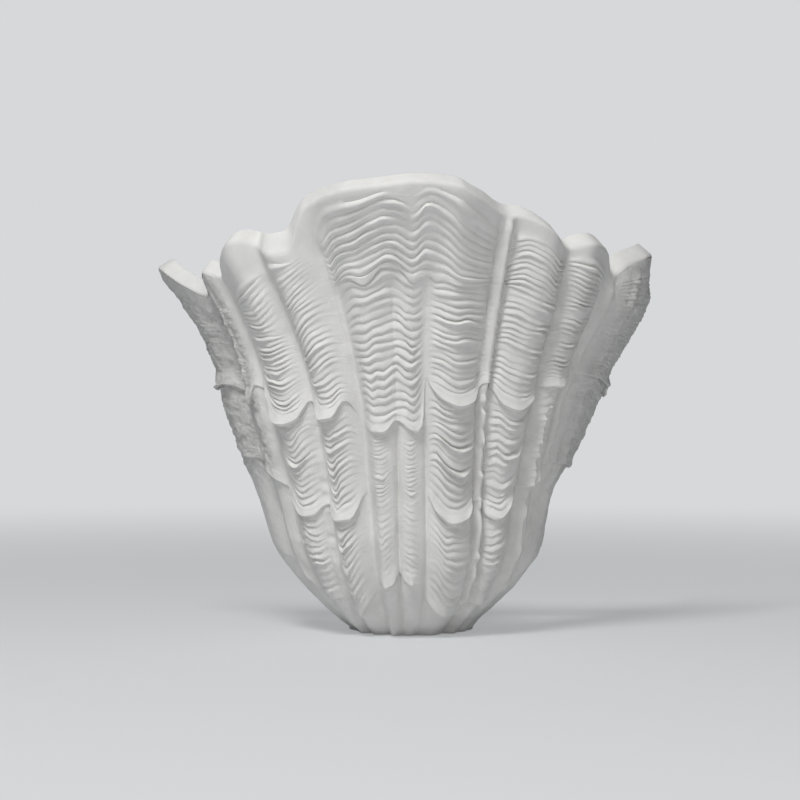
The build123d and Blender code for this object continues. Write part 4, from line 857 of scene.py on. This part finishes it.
# Cast plaster, hard and matt: white with faint broad patches, a sandy grain, fine streaks along the ripples,
# and on the outer ribs tool scratches, pits and crumbs left by the mould.
def makePlaster():
    look = plasterLook
    material, patch, colour = startMaterial("castPlaster", look["colours"], look["patch"],
                                            {"Detail": 4.0, "Roughness": 0.6})
    rough = addNode(material, "Attribute", {"attribute_name": "roughCast"}).outputs["Fac"]
    flow = addNode(material, "Attribute", {"attribute_name": "ripplePlace"})
    stretch = addNode(material, "VectorMath",
                      {"operation": "MULTIPLY", 1: (1 / look["streakLength"], 1 / look["streakWidth"], 1.0)},
                      {0: flow.outputs["Vector"]})
    streak = addNode(material, "TexNoise", {"Scale": 1.0, "Detail": 3.0, "Roughness": 0.6},
                     {"Vector": stretch.outputs["Vector"]})
    grain = addPattern(material, "TexNoise", look["grain"], {"Detail": 3.0, "Roughness": 0.7})
    pits = addPattern(material, "TexVoronoi", look["pit"], {"Randomness": 1.0}, "Distance")
    pitDepth = addNode(material, "MapRange", {"From Max": 0.25}, {"Value": pits})
    tear = addPattern(material, "TexNoise", look["scratch"],
                      {"Detail": 6.0, "Roughness": 0.75, "Distortion": 1.6})
    roughOnly = [addNode(material, "Math", {"operation": "MULTIPLY"}, {0: pattern, 1: rough}).outputs["Value"]
                 for pattern in (tear, pitDepth.outputs["Result"])]
    patterns = [grain, patch, streak.outputs["Fac"], *roughOnly]
    bumps = [(*bump, pattern) for bump, pattern in zip(look["bumps"], patterns)]
    return endMaterial(material, bumps, {"Roughness": look["roughness"], "Specular IOR Level": 0.3},
                       {"Base Color": colour})


points, faces, roughCast, rippleFlow = makeShell()
print("shell:", len(points), "points,", len(faces), "faces")
shellPiece = addMesh("shell_body", (points * metre).tolist(), faces, "shell", shell["sharpAbove"])
values = shellPiece.data.attributes.new("roughCast", "FLOAT", "POINT")
values.data.foreach_set("value", roughCast.astype(np.float32))
values = shellPiece.data.attributes.new("ripplePlace", "FLOAT_VECTOR", "POINT")
values.data.foreach_set("vector", rippleFlow.astype(np.float32).reshape(-1))
shellPiece.data.materials.append(makePlaster())
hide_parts("plaster_shell")

# Stage: a pale floor that fades into the plain background, a soft key lamp above on the left and a weak fill.
# Its sizes are in metres.
studio = {
    "floorHalf": 12.0,
    "floorGap": 0.0005,
    "floorColour": "#DDDFE1",
    "backColour": "#D6D8DA",
    "fadeFrom": 0.35,
    "fadeTo": 1.9,
    "floorGlow": 0.45,  # share of the background's own colour in the floor near the object
    "skyColour": "#F1F3F6",
    "skyStrength": 0.2,
    "keyPower": 32.5,
    "keyPlace": (-0.5, -1.38, 1.7),
    "keySize": 0.6,
    "fillPower": 5.4,
    "fillPlace": (0.2, -1.7, -0.02),
    "fillSize": 1.0,
}

# Seen level with a point a little above the middle of the shell, from 1.5 m in front of the wall. 800 pixels
# span 555 mm at the wall.
view = {"distance": 1.5, "height": 0.008, "sideways": -0.0035, "widthAtWall": 0.5552, "sensor": 36.0}


def seenDirectly(owner):  # 1 for rays from the camera, and for those seen in a mirror or through glass
    path = addNode(owner, "LightPath", {})
    shiny = addNode(owner, "Math", {"operation": "MAXIMUM"},
                    {0: path.outputs["Is Camera Ray"], 1: path.outputs["Is Glossy Ray"]})
    return addNode(owner, "Math", {"operation": "MAXIMUM"},
                   {0: shiny.outputs["Value"], 1: path.outputs["Is Transmission Ray"]}).outputs["Value"]


# The floor is lit and keeps the object's shadow. With the distance from the object it fades into the plain
# colour behind it, so that no horizon shows.
def makeStage():
    half, level = studio["floorHalf"], cadBox[0][2] - studio["floorGap"]
    mesh = bpy.data.meshes.new("floor")
    mesh.from_pydata([(-half, -half, level), (half, -half, level), (half, half, level), (-half, half, level)],
                     [], [(0, 1, 2, 3)])
    floor = addObject("floor", mesh)
    paper = newMaterial("stagePaper")
    lit = addNode(paper, "BsdfDiffuse", {"Color": fromHex(studio["floorColour"])})
    plain = addNode(paper, "Emission", {"Color": fromHex(studio["backColour"]), "Strength": 1.0})
    place = addNode(paper, "TexCoord", {})
    away = addNode(paper, "VectorMath", {"operation": "LENGTH"}, {0: place.outputs["Object"]})
    fade = addNode(paper, "MapRange", {"interpolation_type": "SMOOTHSTEP", "From Min": studio["fadeFrom"],
                                       "From Max": studio["fadeTo"], "To Min": studio["floorGlow"]},
                   {"Value": away.outputs["Value"]})
    share = addNode(paper, "Math", {"operation": "MULTIPLY"},
                    {0: fade.outputs["Result"], 1: seenDirectly(paper)})
    mixed = addNode(paper, "MixShader", {},
                    {0: share.outputs["Value"], 1: lit.outputs["BSDF"], 2: plain.outputs["Emission"]})
    addNode(paper, "OutputMaterial", {}, {"Surface": mixed.outputs["Shader"]})
    mesh.materials.append(paper)


def makeWorld():
    world = bpy.data.worlds.new("studio")
    world.use_nodes = True
    world.node_tree.nodes.clear()
    light = addNode(world, "Background",
                    {"Color": fromHex(studio["skyColour"]), "Strength": studio["skyStrength"]})
    back = addNode(world, "Background", {"Color": fromHex(studio["backColour"]), "Strength": 1.0})
    mixed = addNode(world, "MixShader", {},
                    {0: seenDirectly(world), 1: light.outputs["Background"], 2: back.outputs["Background"]})
    addNode(world, "OutputWorld", {}, {"Surface": mixed.outputs["Shader"]})
    bpy.context.scene.world = world


def addLamp(name, place, power, size):  # a square lamp that faces the origin
    lamp = bpy.data.lights.new(name, "AREA")
    lamp.energy, lamp.size = power, size
    holder = addObject(name, lamp)
    holder.location = place
    x, y, z = place
    holder.rotation_euler = (math.atan2(math.hypot(x, y), z), 0, math.atan2(y, x) + math.pi / 2)


def makeCamera():
    lens = bpy.data.cameras.new("photoView")
    lens.sensor_width = view["sensor"]
    lens.lens = view["sensor"] * view["distance"] / view["widthAtWall"]
    camera = addObject("photoView", lens)
    camera.location = (view["sideways"], -view["distance"], view["height"])
    camera.rotation_euler = (math.radians(90), 0, 0)
    bpy.context.scene.camera = camera


makeStage()
makeWorld()
addLamp("key", studio["keyPlace"], studio["keyPower"], studio["keySize"])
addLamp("fill", studio["fillPlace"], studio["fillPower"], studio["fillSize"])
makeCamera()
bpy.context.scene.view_settings.view_transform = "Standard"
print("stage, lights and camera placed")
